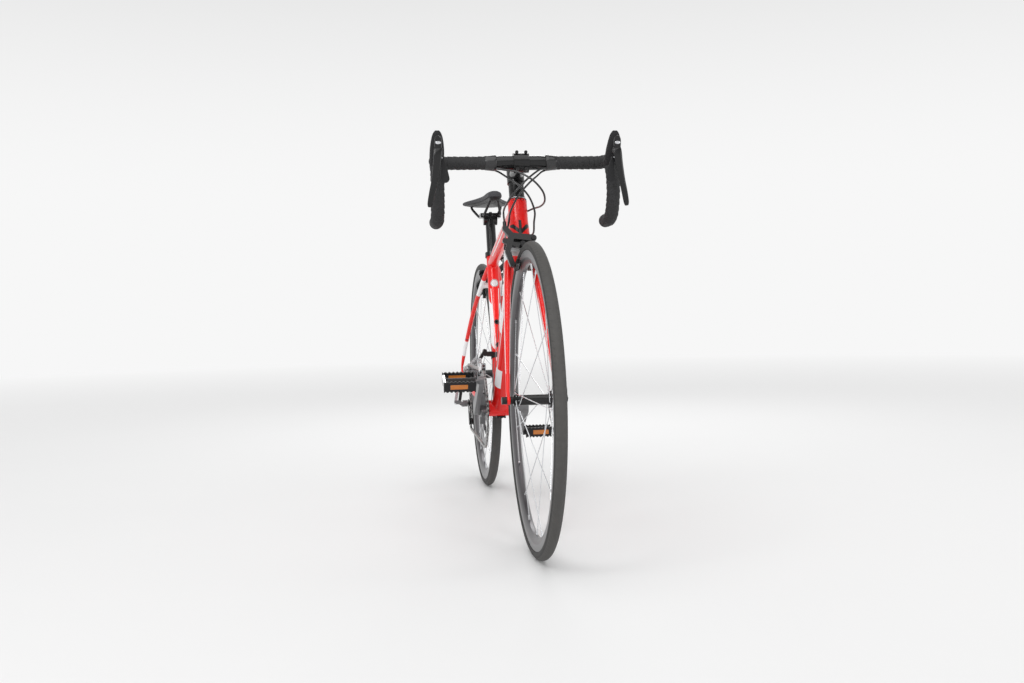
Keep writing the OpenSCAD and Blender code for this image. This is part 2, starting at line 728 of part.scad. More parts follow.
module rim() {
  color(grey) difference() {
    rotate([90, 0, 0]) rotate_extrude($fn = 180) rim_section();
    rotate([0, 97, 0]) cylinder(h = bead_r + 20, r = 3);
  }
  color(silver) rotate([0, 97, 0]) translate([0, 0, rim_low - 32]) cylinder(h = 52, r = 2.8);
}
// Crossed spokes of one side: n in all, s is 0 for the right flange and 1 for the left
function hole_a(k, n, s) = k * 720 / n + s * 360 / n + (k % 2 == 0 ? 1 : -1) * 1440 / n;
module spokes(n, s, y, fr) {
  color(silver) for (k = [0:n / 2 - 1]) {
    out = s == 0 ? -1 : 1;
    face = (k % 2 == 0 ? 1 : -1) * out;
    h = hole_a(k, n, s);
    a = k * 720 / n + s * 360 / n;
    hub_p = [fr * cos(h), y + 3.8 * face, fr * sin(h)];
    rim_p = [(rim_low - 0.4) * cos(a), out * 1.2, (rim_low - 0.4) * sin(a)];
    rod(hub_p, rim_p, spoke_d / 2);
    rod(rim_p + 12 * unit(hub_p - rim_p), rim_p, 1.9);
    rod([hub_p[0], y - 2.6 * face, hub_p[2]], hub_p, 1.1);
    rod([hub_p[0], y - 3.2 * face, hub_p[2]], [hub_p[0], y - 2 * face, hub_p[2]], 1.8);
  }
}
module hub_holes(n, s, y, fr) {
  for (k = [0:n / 2 - 1]) {
    h = hole_a(k, n, s);
    translate([fr * cos(h), 0, fr * sin(h)]) rod_y(1.3, y - 4, y + 4);
  }
}
front_flange = [-36, 36];
hole_in = 3;
front_flange_r = 19;
flange_t = 1.7;
module hub_shell(y0, y1, r0, r1, core, end0, end1) {
  rotate([-90, 0, 0]) rotate_extrude($fn = 64) difference() {
    union() {
      translate([0, end0]) square([core, end1 - end0]);
      translate([0, y0 - flange_t]) square([r0, 2 * flange_t]);
      translate([0, y1 - flange_t]) square([r1, 2 * flange_t]);
    }
    translate([0, end0 - 1]) square([axle_r + pin_gap, end1 - end0 + 2]);
    translate([0, end0 + 9]) square([core - 2.5, end1 - end0 - 18]);
  }
}
module front_hub() {
  color(black) translate(front_axle_p) difference() {
    hub_shell(front_flange[0], front_flange[1], front_flange_r, front_flange_r, 11.5, -43, 43);
    for (s = [0, 1]) hub_holes(front_spoke_n, s, front_flange[s], front_flange_r - hole_in);
  }
}
module front_spokes() {
  translate(front_axle_p) for (s = [0, 1])
    spokes(front_spoke_n, s, front_flange[s], front_flange_r - hole_in);
}
skewer_r = 2.5;
qr_y = 11;
// Axle with its locknuts, the skewer through it and the clevis of the cam lever
module axle(w, tip, nut = 6.5) {
  e = w / 2;
  color(silver) difference() {
    union() {
      rod_y(axle_r, -e - tip + 1, e + tip - 1);
      rod_y(8.5, -e, -e + nut);
      rod_y(8.5, e - 6.5, e);
    }
    rod_y(skewer_r + 0.1, -e - 20, e + 20);
  }
  color(black) {
    rod_y(skewer_r, -e - tip - 10, e + tip + 4);
    rod_y(8, -e - tip - 11, -e - tip - 0.1);
    difference() {
      rod_y(9, e + tip + 0.1, e + tip + qr_y + 5);
      translate([-4 - gap, e + tip + 3.5, -20]) cube([8 + 2 * gap, 30, 40]);
    }
    translate([0, e + tip + qr_y, 0]) rod_x(2, -7, 7);
  }
}
module qr_lever(w, tip, len) {
  e = w / 2 + tip + qr_y;
  color(black) difference() {
    union() {
      translate([0, e, 0]) rod_x(6.5, -4, 4);
      plate_x(-3.4, 3.4) {
        bar2d([e, 0], 5, [e + 3, 18], 3.2);
        bar2d([e + 3, 18], 3.2, [e + 1, len], 3.8);
      }
    }
    translate([0, e, 0]) rod_x(2 + pin_gap, -10, 10);
  }
}
qr_len = 44;
module front_axle() { translate(front_axle_p) rotate([0, -20, 0]) axle(front_hub_w, fork_tip_t); }
module front_qr_lever() {
  translate(front_axle_p) rotate([0, -20, 0]) qr_lever(front_hub_w, fork_tip_t, qr_len);
}
module front_tyre() { translate(front_axle_p) tyre(); }
module front_rim() { translate(front_axle_p) rim(); }
module rear_tyre() { translate(rear_axle_p) tyre(); }
module rear_rim() { translate(rear_axle_p) rim(); }
rear_flange = [-20, 35];
rear_flange_r = [23, 19];
hub_end = 61;
module rear_hub() {
  color(black) translate(rear_axle_p) difference() {
    hub_shell(rear_flange[0], rear_flange[1], rear_flange_r[0], rear_flange_r[1], 13, -hub_end, 58);
    for (s = [0, 1]) hub_holes(rear_spoke_n, s, rear_flange[s], rear_flange_r[s] - hole_in);
  }
}
module rear_spokes() {
  translate(rear_axle_p) for (s = [0, 1])
    spokes(rear_spoke_n, s, rear_flange[s], rear_flange_r[s] - hole_in);
}
module rear_axle() { translate(rear_axle_p) rotate([0, 62, 0]) axle(rear_hub_w, drop_t, 3.5); }
module rear_qr_lever() {
  translate(rear_axle_p) rotate([0, 62, 0]) qr_lever(rear_hub_w, drop_t, qr_len);
}

// Chain drive, in the XZ plane of the chain line
pitch = 12.7;
roller_r = 3.85;
pulley_teeth = 11;
cog_teeth = [11, 12, 13, 14, 15, 17, 19, 21, 23, 25];
cog_pitch = 3.95;
chain_cog = 4;
function pr(n) = pitch / 2 / sin(180 / n);
flat_axle = [rear_axle_p[0], rear_axle_p[2]];
flat_bb = [bb[0], bb[2]];
hanger_p = flat_axle + hanger;
rd_l = 60;
rd_lean = 12.6;
guide_p = hanger_p + rd_l * [sin(rd_lean), -cos(rd_lean)];
tension_p = guide_p + 56 * [cos(cage_angle), -sin(cage_angle)];
// Wheels in the chain's order: centre, teeth, and 1 where the chain passes over it clockwise
loop = [[tension_p, pulley_teeth, 1], [guide_p, pulley_teeth, -1],
  [flat_axle, cog_teeth[chain_cog], 1], [flat_bb, ring_teeth, 1]];
function wrap(a) = a - 360 * floor(a / 360);
function heading(a, b) =
  let (d = b[0] - a[0]) atan2(d[1], d[0]) - asin((pr(a[1]) * a[2] - pr(b[1]) * b[2]) / norm(d));
function leave_a(i) = heading(loop[i], loop[(i + 1) % 4]) + 90 * loop[i][2];
function meet_a(i) = heading(loop[(i + 3) % 4], loop[i]) + 90 * loop[i][2];
function pin_at(i, a) = loop[i][0] + pr(loop[i][1]) * [cos(a), sin(a)];
function steps_on(i, a) = 
  floor(wrap(loop[i][2] * (a - leave_a(i))) / (360 / loop[i][1]) + 0.5);
function last_a(i, a) = a - loop[i][2] * steps_on(i, a) * 360 / loop[i][1];
// Angle of the first pin on wheel i when the run starts at point q
function first_a(i, q) =
  let (v = q - loop[i][0], l = norm(v), r = pr(loop[i][1]),
    m = round(sqrt(l * l - r * r) / pitch) * pitch)
  atan2(v[1], v[0]) - loop[i][2] * acos((l * l + r * r - m * m) / (2 * l * r));
start_a = [for (i = 0, a = meet_a(0); i < 4;
  q = pin_at(i, last_a(i, a)), i = i + 1, a = i < 4 ? first_a(i, q) : 0) a];
function on_wheel(i) = [for (k = [0:steps_on(i, start_a[i])])
  pin_at(i, start_a[i] - loop[i][2] * k * 360 / loop[i][1])];
function run_to(a, b) = let (n = round(norm(b - a) / pitch))
  n < 2 ? [] : [for (k = [1:n - 1]) a + (b - a) * k / n];
pins = [for (i = [0:3]) each concat(on_wheel(i),
  run_to(pin_at(i, last_a(i, start_a[i])), pin_at((i + 1) % 4, start_a[(i + 1) % 4])))];
plate_in = 1.15;
plate_t = 0.8;
module link_2d(l) {
  circle(4.1);
  translate([l, 0]) circle(4.1);
  translate([0, -2.9]) square([l, 5.8]);
}
module chain() {
  n = len(pins);
  translate([0, -chain_line, 0]) for (i = [0:n - 1]) {
    p = pins[i];
    d = pins[(i + 1) % n] - p;
    translate([p[0], 0, p[1]]) rotate([0, -atan2(d[1], d[0]), 0]) {
      l = norm(d);
      if (i % 2 == 0) color(silver) {
        for (s = [-1, 1]) plate_y(s > 0 ? plate_in + plate_t + 0.05 : -plate_in - 2 * plate_t - 0.05,
          s > 0 ? plate_in + 2 * plate_t + 0.05 : -plate_in - plate_t - 0.05) link_2d(l);
        for (x = [0, l]) translate([x, 0, 0]) rod_y(1.7, -2.9, 2.9);
      }
      else color(grey) difference() {
        union() {
          for (s = [-1, 1]) plate_y(s > 0 ? plate_in : -plate_in - plate_t,
            s > 0 ? plate_in + plate_t : -plate_in) link_2d(l);
          for (x = [0, l]) translate([x, 0, 0]) rod_y(roller_r, -plate_in - 0.1, plate_in + 0.1);
        }
        for (x = [0, l]) translate([x, 0, 0]) rod_y(1.75, -5, 5);
      }
    }
  }
}
// Toothed outline with its first gap at angle a
seat_r = roller_r + 0.4;
module sprocket_2d(n, a, over = 3.1) {
  difference() {
    circle(pr(n) + over, $fn = 90);
    for (k = [0:n - 1]) rotate(a + k * 360 / n) translate([pr(n), 0]) {
      circle(seat_r, $fn = 20);
      polygon([[0, -seat_r], [8, -seat_r - 5], [8, seat_r + 5], [0, seat_r]]);
    }
  }
}
tooth_t = 1.6;
freehub_r = 17;
module cassette() {
  color(silver) translate(rear_axle_p) {
    for (i = [0:9]) {
      y = -chain_line - (chain_cog - i) * cog_pitch;
      plate_y(y - tooth_t / 2, y + tooth_t / 2) difference() {
        sprocket_2d(cog_teeth[i], i == chain_cog ? start_a[2] : 0);
        circle(freehub_r - 1);
      }
    }
    difference() {
      rod_y(freehub_r, -chain_line - chain_cog * cog_pitch, -chain_line + 5 * cog_pitch + 0.8);
      rod_y(13.05, -90, 0);
    }
  }
}
spindle_r = 12;
arm_y = 60;
inner_line = chain_line - 5.3;
bcd_r = 55;
module bcd() {
  for (a = [45:90:315]) rotate(a + crank_angle) translate([bcd_r, 0]) children();
}
module chainrings() {
  translate(bb) {
    color(grey) plate_y(-chain_line - tooth_t / 2, -chain_line + tooth_t / 2) difference() {
      sprocket_2d(ring_teeth, start_a[3]);
      difference() {
        circle(78);
        bcd() circle(12);
        for (a = [45:90:315]) rotate(a + crank_angle) translate([bcd_r, -10]) square([30, 20]);
      }
      bcd() circle(4.1);
      circle(46);
    }
    color(grey) plate_y(-inner_line - tooth_t / 2, -inner_line + tooth_t / 2) difference() {
      sprocket_2d(inner_teeth, 0);
      difference() {
        circle(pr(inner_teeth) - 9);
        bcd() circle(8);
      }
      bcd() circle(4.1);
    }
    color(silver) rotate([90, 0, 0]) bcd() translate([0, 0, inner_line - 1.6])
      cylinder(h = chain_line - inner_line + 3.6, r = 4);
  }
}
crank_end = crank_l * [cos(crank_angle), sin(crank_angle)];
pedal_thread_y = 73;
module crank_right() {
  color(grey) translate(bb) {
    plate_y(-pedal_thread_y, -arm_y) difference() {
      bar2d([0, 0], 17, crank_end, 13);
      translate(crank_end) circle(4.5);
    }
    rod_y(18, -arm_y - 3, -bb_shell_w / 2 - cup_w - gap);
    plate_y(-arm_y + 3, -inner_line - tooth_t / 2 - 0.4) for (a = [45:90:315])
      rotate(a + crank_angle) bar2d([0, 0], 16, [bcd_r - 22, 0], 11);
    plate_y(-chain_line + tooth_t / 2 + 0.05, -inner_line - tooth_t / 2 - 0.05) difference() {
      for (a = [45:90:315]) rotate(a + crank_angle) bar2d([4, 0], 11, [bcd_r, 0], 8);
      bcd() circle(4.1);
    }
    rod_y(spindle_r, -arm_y - 5, pedal_thread_y - 14);
  }
  color(black) pedal_axle(-1);
}
module pedal_axle(side) {
  e = side * crank_end;
  translate(bb - [e[0], 0, e[1]]) {
    y0 = side * (pedal_thread_y - 12);
    y1 = side * (pedal_thread_y + 8);
    y2 = side * (pedal_thread_y + 8 + pedal_w - 10);
    rod_y(4.4, min(y0, y1), max(y0, y1));
    rod_y(7.5, min(side * (pedal_thread_y + 0.1), side * (pedal_thread_y + 4)),
      max(side * (pedal_thread_y + 0.1), side * (pedal_thread_y + 4)));
    rod_y(4.4, min(y1, y2), max(y1, y2));
  }
}
module crank_left() {
  color(grey) translate(bb) {
    difference() {
      union() {
        plate_y(arm_y, pedal_thread_y) bar2d([0, 0], 17, -crank_end, 13);
        rod_y(15.5, bb_shell_w / 2 + cup_w + gap, arm_y + 1);
      }
      rod_y(spindle_r, 0, pedal_thread_y - 14);
      translate([-crank_end[0], 0, -crank_end[1]]) rod_y(4.5, 0, 90);
    }
  }
  color(black) pedal_axle(1);
}
// Pedal about its axle, from y0 outwards along side
module pedal(side) {
  y0 = pedal_thread_y + 8;
  module out() {
    if (side > 0) children();
    else mirror([0, 1, 0]) children();
  }
  out() {
    color(black) difference() {
      union() {
        rod_y(10, y0, y0 + pedal_w - 4);
        translate([-30, y0 + 6, -6]) cube([60, 6, 12]);
        translate([-30, y0 + pedal_w - 16, -6]) cube([60, 6, 12]);
      }
      rod_y(4.4 + pin_gap, 0, y0 + pedal_w - 9);
    }
    color(black) for (sx = [-1, 1]) translate([sx * 33, 0, 0]) difference() {
      translate([-3, y0 + 2, -14]) cube([6, pedal_w - 6, 28]);
      for (y = [y0 + 8:10:y0 + pedal_w - 8], z = [-1, 1]) translate([0, y, z * 14.5])
        rotate([0, 90, 0]) cylinder(h = 20, r = 3, center = true);
      translate([-10, y0 + 22, -6.2]) cube([20, pedal_w - 42, 12.4]);
    }
    color(amber) for (sx = [-1, 1]) translate([sx * 33, 0, 0])
      translate([-3, y0 + 22.2, -6]) cube([6, pedal_w - 42.4, 12]);
    color(silver) translate([0, 0, 0]) difference() {
      translate([-29, y0 + pedal_w - 9.8, -10]) cube([58, 6, 20]);
      rod_y(10.1, 0, 300);
    }
  }
}
module pedal_right() {
  translate(bb + [crank_end[0], 0, crank_end[1]]) rotate([0, pedal_tilt, 0]) pedal(-1);
}
module pedal_left() { translate(bb - [crank_end[0], 0, crank_end[1]]) pedal(1); }

// Rear derailleur, in a frame at the hanger bolt whose Z runs up the links
module at_hanger() {
  translate([hanger_p[0], 0, hanger_p[1]]) rotate([0, -rd_lean, 0]) children();
}
link_r = 4.4;
link_l = 40;
link_pin_r = 1.8;
b_out = [-84, -17];
b_in = [-72, -17];
link_v = link_l * [-sin(10), -cos(10)];
module link(p) {
  difference() {
    plate_x(-8, 8) bar2d(p, link_r, p + link_v, link_r);
    for (c = [p, p + link_v]) translate([0, c[0], c[1]]) rod_x(link_pin_r + pin_gap, -20, 20);
  }
}
module cheeks(a, b) {
  for (x = [-11, 8 + gap]) plate_x(x, x + 3 - gap) {
    bar2d(a, link_r, b, link_r);
    children();
  }
  for (c = [a, b]) translate([0, c[0], c[1]]) rod_x(link_pin_r, -10, 10);
}
module rd_bracket() {
  color(grey) at_hanger() {
    cheeks(b_out, b_in) bar2d(b_in, link_r, [-79, 0], 6);
    rod_y(10.5, -87, -drop_y - drop_t - 1.1);
  }
  color(black) at_hanger() rod_y(3.9, -drop_y - drop_t - 1.5, -drop_y - 1);
}
module rd_outer_link() { color(silver) at_hanger() link(b_out); }
module rd_inner_link() { color(grey) at_hanger() link(b_in); }
cage_y = 4.4;
cage_pin_r = 4;
module rd_knuckle() {
  p_out = b_out + link_v;
  p_in = b_in + link_v;
  color(grey) at_hanger() {
    difference() {
      union() {
        cheeks(p_out, p_in) bar2d(p_in, link_r, [-68, -rd_l - 4], 4);
        translate([-11, -72, -rd_l - 9]) cube([22, 9, 8.5]);
        translate([0, 0, -rd_l]) rod_y(10, -69.5, -chain_line - cage_y - 2.2 - gap - 1.5);
      }
      translate([0, 0, -rd_l]) rod_y(cage_pin_r + pin_gap, -68, -40);
    }
  }
}
module cage_plate_2d() {
  d = tension_p - guide_p;
  difference() {
    union() {
      bar2d([0, 0], 12.6, 0.45 * d, 10);
      bar2d(0.45 * d, 10, d, 11);
    }
    translate(0.5 * d) circle(5);
  }
}
module rd_cage() {
  translate([guide_p[0], -chain_line, guide_p[1]]) {
    color(black) {
      plate_y(-cage_y - 2, -cage_y) cage_plate_2d();
      plate_y(cage_y, cage_y + 1.8) cage_plate_2d();
      rod_y(cage_pin_r, -20, -cage_y - 0.6);
    }
    color(silver) for (c = [[0, 0], tension_p - guide_p]) translate([c[0], 0, c[1]]) {
      rod_y(2.5, -cage_y - 1, cage_y + 1.4);
      rod_y(4, cage_y + 1, cage_y + 3);
    }
  }
}
module pulley(i) {
  c = loop[i][0];
  color(black) translate([c[0], -chain_line, c[1]]) {
    plate_y(-0.85, 0.85) difference() {
      sprocket_2d(pulley_teeth, start_a[i]);
      circle(2.5 + pin_gap);
    }
    difference() {
      rod_y(9, -cage_y + gap, cage_y - gap);
      rod_y(2.5 + pin_gap, -9, 9);
    }
  }
}
module guide_pulley() { pulley(1); }
module tension_pulley() { pulley(0); }

// Front derailleur
fd_z = 132;
fd_pin = [-36, 20];
fd_arm = [-14, -22];
fd_x0 = -42;
module at_fd() {
  translate([bb[0], 0, bb[2] + fd_z]) children();
}
module fd_bracket() {
  color(black) {
    difference() {
      union() {
        seating() translate([0, 0, fd_z + 4]) cylinder(h = 14, r = seat_tube_d / 2 + 2.5);
        at_fd() translate([fd_x0 - 4, -31, 5]) cube([21, 18, 13]);
      }
      seat_tube_body();
    }
    at_fd() {
      for (x = [fd_x0 - 4, fd_x0 + 14]) plate_x(x, x + 3) bar2d([-36, 13], 7, fd_pin, 5);
      translate([0, fd_pin[0], fd_pin[1]]) rod_x(1.8, fd_x0 - 3, fd_x0 + 16);
    }
  }
}
module fd_link() {
  color(silver) at_fd() difference() {
    plate_x(fd_x0 - 1 + gap, fd_x0 + 14 - gap) bar2d(fd_pin, 4.2, fd_pin + fd_arm, 4.2);
    for (c = [fd_pin, fd_pin + fd_arm]) translate([0, c[0], c[1]]) rod_x(1.8 + pin_gap, -90, 90);
  }
}
// Cage arc about the crank axis
module fd_arc_2d(r0, r1) {
  difference() {
    circle(r1, $fn = 96);
    circle(r0, $fn = 96);
    polygon([[0, 0], 400 * [cos(80), sin(80)], [400, 0], [0, -400], [-400, 0],
      400 * [cos(118), sin(118)]]);
  }
}
ring_out = pr(ring_teeth) + 3.1;
module fd_cage() {
  e = fd_pin + fd_arm;
  color(silver) {
    translate(bb) {
      plate_y(-chain_line - 6, -chain_line - 4.6) fd_arc_2d(ring_out - 2, ring_out + 17);
      plate_y(-chain_line + 4.6, -chain_line + 6) fd_arc_2d(ring_out - 8, ring_out + 17);
      plate_y(-chain_line - 6, -chain_line + 6) fd_arc_2d(ring_out + 15, ring_out + 17);
    }
    at_fd() {
      for (x = [fd_x0 - 4, fd_x0 + 14]) plate_x(x, x + 3) bar2d(e, 4.2, [e[0], -19], 3.5);
      translate([0, e[0], e[1]]) rod_x(1.8, fd_x0 - 3, fd_x0 + 16);
    }
  }
}

// Seatpost and saddle
post_top = seat_tube_l + seatpost_out;
head_c = seat_pt(-2, 0, post_top + 6);
rail_z = head_c[2] + 11;
rail_y = 22;
rail_r = rail_d / 2;
module clamp_part(z0, h) {
  difference() {
    translate([head_c[0] - 19, -rail_y - 6, z0]) cube([38, 2 * rail_y + 12, h]);
    for (y = [-rail_y, rail_y]) translate([0, y, rail_z]) rod_x(rail_r + pin_gap, -600, 0);
    for (x = [-13, 13]) translate([head_c[0] + x, 0, 0]) cylinder(h = 2000, r = 2.6);
  }
}
module seatpost() {
  color(black) {
    seating() translate([0, 0, seat_tube_l - 110]) difference() {
      cylinder(h = seatpost_out + 110 + 4, r = seatpost_d / 2);
      translate([0, 0, -1]) cylinder(h = seatpost_out + 90, r = seatpost_d / 2 - 2.5);
    }
    difference() {
      translate(head_c) rod_y(15, -19, 19);
      translate([head_c[0] - 30, -30, rail_z - 5]) cube([60, 60, 30]);
      for (x = [-13, 13]) translate([head_c[0] + x, 0, 0]) cylinder(h = 2000, r = 2.6);
    }
    clamp_part(rail_z - 6, 5.6);
    clamp_part(rail_z + 0.6, 6);
  }
  color(silver) for (x = [-13, 13]) translate([head_c[0] + x, 0, 0]) {
    translate([0, 0, rail_z - 12]) cylinder(h = 20, r = 2.5);
    translate([0, 0, rail_z + 6.7]) cylinder(h = 3, r = 4.2);
  }
}
nose_x = head_c[0] + 139;
tail_x = nose_x - saddle_l;
saddle_z = rail_z + 58;
// Half widths and heights along the saddle: share of its length, half width, drop of the top, thickness
saddle_rows = [[0, 9, 9, 22], [0.04, 18, 3, 30], [0.2, 21, 0, 30], [0.42, 27, 2, 28], [0.62, 42, 3, 26],
  [0.8, saddle_w / 2 - 5, 4, 22], [0.93, saddle_w / 2 - 1, 4, 19], [1, saddle_w / 2 - 22, 6, 12]];
function saddle_q(cut, sink, share) = [for (v = saddle_rows)
  [nose_x - v[0] * saddle_l + (v[0] < 0.01 ? -cut : v[0] > 0.99 ? cut : 0), 0,
    saddle_z - v[2] - v[3] / 2 - sink, v[1] - cut, v[3] * share / 2]];
module saddle_cover() {
  color(black) difference() {
    limb(saddle_q(0, 0, 1), n = 3, m = 20);
    translate([tail_x - 10, -100, saddle_z - 60]) cube([saddle_l + 20, 200, 60 - 19]);
  }
}
module saddle_base() {
  color(black) difference() {
    limb(saddle_q(3, 2, 0.9), n = 3, m = 16);
    translate([tail_x - 10, -100, saddle_z - 19 - gap]) cube([saddle_l + 20, 200, 60]);
    translate([tail_x - 10, -100, saddle_z - 90]) cube([saddle_l + 20, 200, 90 - 27]);
  }
  for (side = [-1, 1]) color(black) {
    translate([0, side * rail_y, rail_z]) rod_x(rail_r, head_c[0] - 46, head_c[0] + 46);
    limb([[head_c[0] + 44, side * rail_y, rail_z, rail_r - 0.3, rail_r - 0.3],
      [head_c[0] + 60, side * (rail_y - 1), rail_z + 2, rail_r, rail_r],
      [head_c[0] + 100, side * 12, rail_z + 27, rail_r, rail_r],
      [head_c[0] + 108, side * 10, rail_z + 34, rail_r, rail_r]], [0, 0.1, 1], 3, 12);
    limb([[head_c[0] - 44, side * rail_y, rail_z, rail_r - 0.3, rail_r - 0.3],
      [head_c[0] - 58, side * (rail_y + 3), rail_z + 3, rail_r, rail_r],
      [head_c[0] - 88, side * 40, rail_z + 26, rail_r, rail_r],
      [head_c[0] - 94, side * 42, rail_z + 35, rail_r, rail_r]], [0, 0.1, 1], 3, 12);
  }
}

// Cables: housings of radius 2.2 and bare cables, along points set by hand
housing_r = 2.2;
barrel_u = (layer[1] + layer[2]) / 2;
barrel_s = brake_s + 38;
barrel_h = 16;
function rear_brake_pt(u, y, s) = rear_axle_p + (u - fork_rake) * [-sin(brake_tilt), 0, cos(brake_tilt)]
  + s * [cos(brake_tilt), 0, sin(brake_tilt)] + [0, -y, 0];
front_brake_run = [[392, 55.6, 839], [398, 42, 836], [410, 26, 826], [426, 4, 808], [430, -20, 784],
  [404, -34, 764], steer_pt(barrel_u, cable_y, barrel_s + barrel_h + 26),
  steer_pt(barrel_u, cable_y, barrel_s + barrel_h + 1.4)];
rear_brake_run = [[392, -55.6, 839], [400, -42, 835], [420, -12, 827], [438, 16, 808], [437, 38, 784],
  [412, 47, 766], [370, 45, 758], [322, 35, 757], stop_top - 26 * top_dir, stop_top - 7.4 * top_dir];
// Shift housings cross in front of the head tube; ahead is how far forward the crossing lies
function shift_run(side, ahead) = [[370.5, side * 55.6, 837], [372, side * 47, 833],
  [384 + ahead / 2, side * 34, 822], [404 + ahead, side * 11, 802], [408 + ahead, side * -12, 776],
  [392 + ahead / 2, side * -27, 745], [371, side * -28.5, 722], [344, side * -31, 701],
  down_a + 36 * down_dir + [0, side * -(down_tube_d / 2 + 7), 1],
  down_a + 54.1 * down_dir + [0, side * -(down_tube_d / 2 + 4.2), 0]];
module steering_cables() {
  color(black) {
    cable(front_brake_run, housing_r);
    cable(rear_brake_run, housing_r);
    for (side = [-1, 1]) cable(shift_run(side, side > 0 ? 11 : 0), housing_r);
  }
}
rd_loop = [chain_stop + [-9.2, 0, 1.6], rear_axle_p + [62, -75, -13], rear_axle_p + [14, -84, -4],
  rear_axle_p + [-28, -92, 2], rear_axle_p + [-52, -92, -16], rear_axle_p + [-42, -86, -36],
  rear_axle_p + [-22, -81, -36]];
module frame_cables() {
  color(silver) for (k = [0, 1]) {
    side = k == 0 ? -1 : 1;
    rod(stop_front[k] + 9 * down_dir, bb - 30 * down_dir + [4, side * (down_tube_d / 2 + 6.5), -4], 0.8);
  }
  color(silver) rod(stop_top + 9 * top_dir, stop_rear - 9 * top_dir, 0.8);
  color(black) {
    cable(rd_loop, housing_r);
    cable([stop_rear + 10 * top_dir, stop_rear + 22 * top_dir + [0, 3, 1],
      rear_brake_pt(barrel_u + 4, cable_y + 6, barrel_s + barrel_h + 56),
      rear_brake_pt(barrel_u, cable_y, barrel_s + barrel_h + 22),
      rear_brake_pt(barrel_u, cable_y, barrel_s + barrel_h + 1.4)], housing_r);
  }
}

head_tube();
top_tube();
down_tube();
seat_tube();
bottom_bracket_shell();
chainstays();
seatstays();
bearing_cups();
seat_collar();
frame_fittings();
frame_cables();
fork();
headset_spacers();
stem();
handlebar();
bar_tape();
lever_hoods();
steering_cables();
brake_lever_left();
brake_lever_right();
shift_paddle_left();
shift_paddle_right();
front_brake_pivot();
front_brake_arm_left();
front_brake_arm_right();
rear_brake_pivot();
rear_brake_arm_left();
rear_brake_arm_right();
front_tyre();
front_rim();
front_spokes();
front_hub();
front_axle();
front_qr_lever();
rear_tyre();
rear_rim();
rear_spokes();
rear_hub();
rear_axle();
rear_qr_lever();
cassette();
crank_right();
crank_left();
chainrings();
chain();
pedal_right();
pedal_left();
rd_bracket();
rd_outer_link();
rd_inner_link();
rd_knuckle();
rd_cage();
guide_pulley();
tension_pulley();
fd_bracket();
fd_link();
fd_cage();
seatpost();
saddle_base();
saddle_cover();
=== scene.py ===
import json
import math

import bmesh
import bpy
import numpy as np
from mathutils import Matrix, Vector

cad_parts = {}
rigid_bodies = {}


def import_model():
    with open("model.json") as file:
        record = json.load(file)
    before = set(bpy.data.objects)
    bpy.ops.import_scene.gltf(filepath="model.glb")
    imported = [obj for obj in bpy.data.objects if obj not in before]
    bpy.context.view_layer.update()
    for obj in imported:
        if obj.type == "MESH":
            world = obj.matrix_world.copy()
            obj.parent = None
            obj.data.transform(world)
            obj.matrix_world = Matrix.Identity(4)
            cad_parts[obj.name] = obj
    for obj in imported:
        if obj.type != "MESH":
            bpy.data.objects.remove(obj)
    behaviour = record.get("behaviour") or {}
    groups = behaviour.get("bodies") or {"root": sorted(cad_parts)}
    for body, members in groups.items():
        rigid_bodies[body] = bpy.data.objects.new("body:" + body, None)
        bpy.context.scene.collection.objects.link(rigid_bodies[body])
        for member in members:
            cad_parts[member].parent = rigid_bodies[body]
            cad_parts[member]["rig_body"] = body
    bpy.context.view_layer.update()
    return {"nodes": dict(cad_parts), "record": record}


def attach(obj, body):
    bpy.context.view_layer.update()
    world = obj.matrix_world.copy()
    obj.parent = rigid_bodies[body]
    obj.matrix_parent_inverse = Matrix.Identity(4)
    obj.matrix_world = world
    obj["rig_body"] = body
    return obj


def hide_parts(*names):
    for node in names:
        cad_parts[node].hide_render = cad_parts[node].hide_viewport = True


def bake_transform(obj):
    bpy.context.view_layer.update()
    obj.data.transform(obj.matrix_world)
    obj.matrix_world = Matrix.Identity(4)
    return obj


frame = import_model()
NODES = frame["nodes"]
BODY = {n: o["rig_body"] for n, o in NODES.items()}
SLOT = {s["node"]: s["material_slot"] for s in frame["record"]["subparts"]}
MM = 0.001
PI = math.pi

# Geometry of the bicycle, in millimetres, as in its CAD source
REAR = np.array([-489.0, 0, 336])
FRONT = np.array([489.0, 0, 336])
BB = REAR + np.array([math.sqrt(405 ** 2 - 68 ** 2), 0, -68])
HEAD, SEAT, TILT = math.radians(73), math.radians(74), math.radians(55)
FOOT = FRONT - 43 * np.array([math.sin(HEAD), 0, math.cos(HEAD)])
HEAD_LOW, HEAD_TOP = 370, 473
STEM_MID = 535
HALF_W, REACH, DROP, HOOK_X, BEND_R = 190, 78, 129, 30, 30
BAR_R, TAPE_T, TAPE_START = 11.9, 3, 56


def steer_pt(u, y, s):
    return FOOT + np.array([u * math.sin(HEAD) - s * math.cos(HEAD), y, u * math.cos(HEAD) + s * math.sin(HEAD)])


def seat_pt(u, y, s):
    return BB + np.array([u * math.sin(SEAT) - s * math.cos(SEAT), y, u * math.cos(SEAT) + s * math.sin(SEAT)])


def unit(v):
    v = np.asarray(v, float)
    return v / np.linalg.norm(v)


BAR = steer_pt(90 * math.cos(math.radians(-6)), 0, STEM_MID + 90 * math.sin(math.radians(-6)))
TOP_A, TOP_B = steer_pt(0, 0, HEAD_TOP - 20), seat_pt(0, 0, 406)
DOWN_A = steer_pt(0, 0, HEAD_LOW + 44)
TOP_DIR, DOWN_DIR = unit(TOP_B - TOP_A), unit(BB - DOWN_A)
STEER_DIR = np.array([-math.cos(HEAD), 0, math.sin(HEAD)])
SEAT_DIR = np.array([-math.cos(SEAT), 0, math.sin(SEAT)])


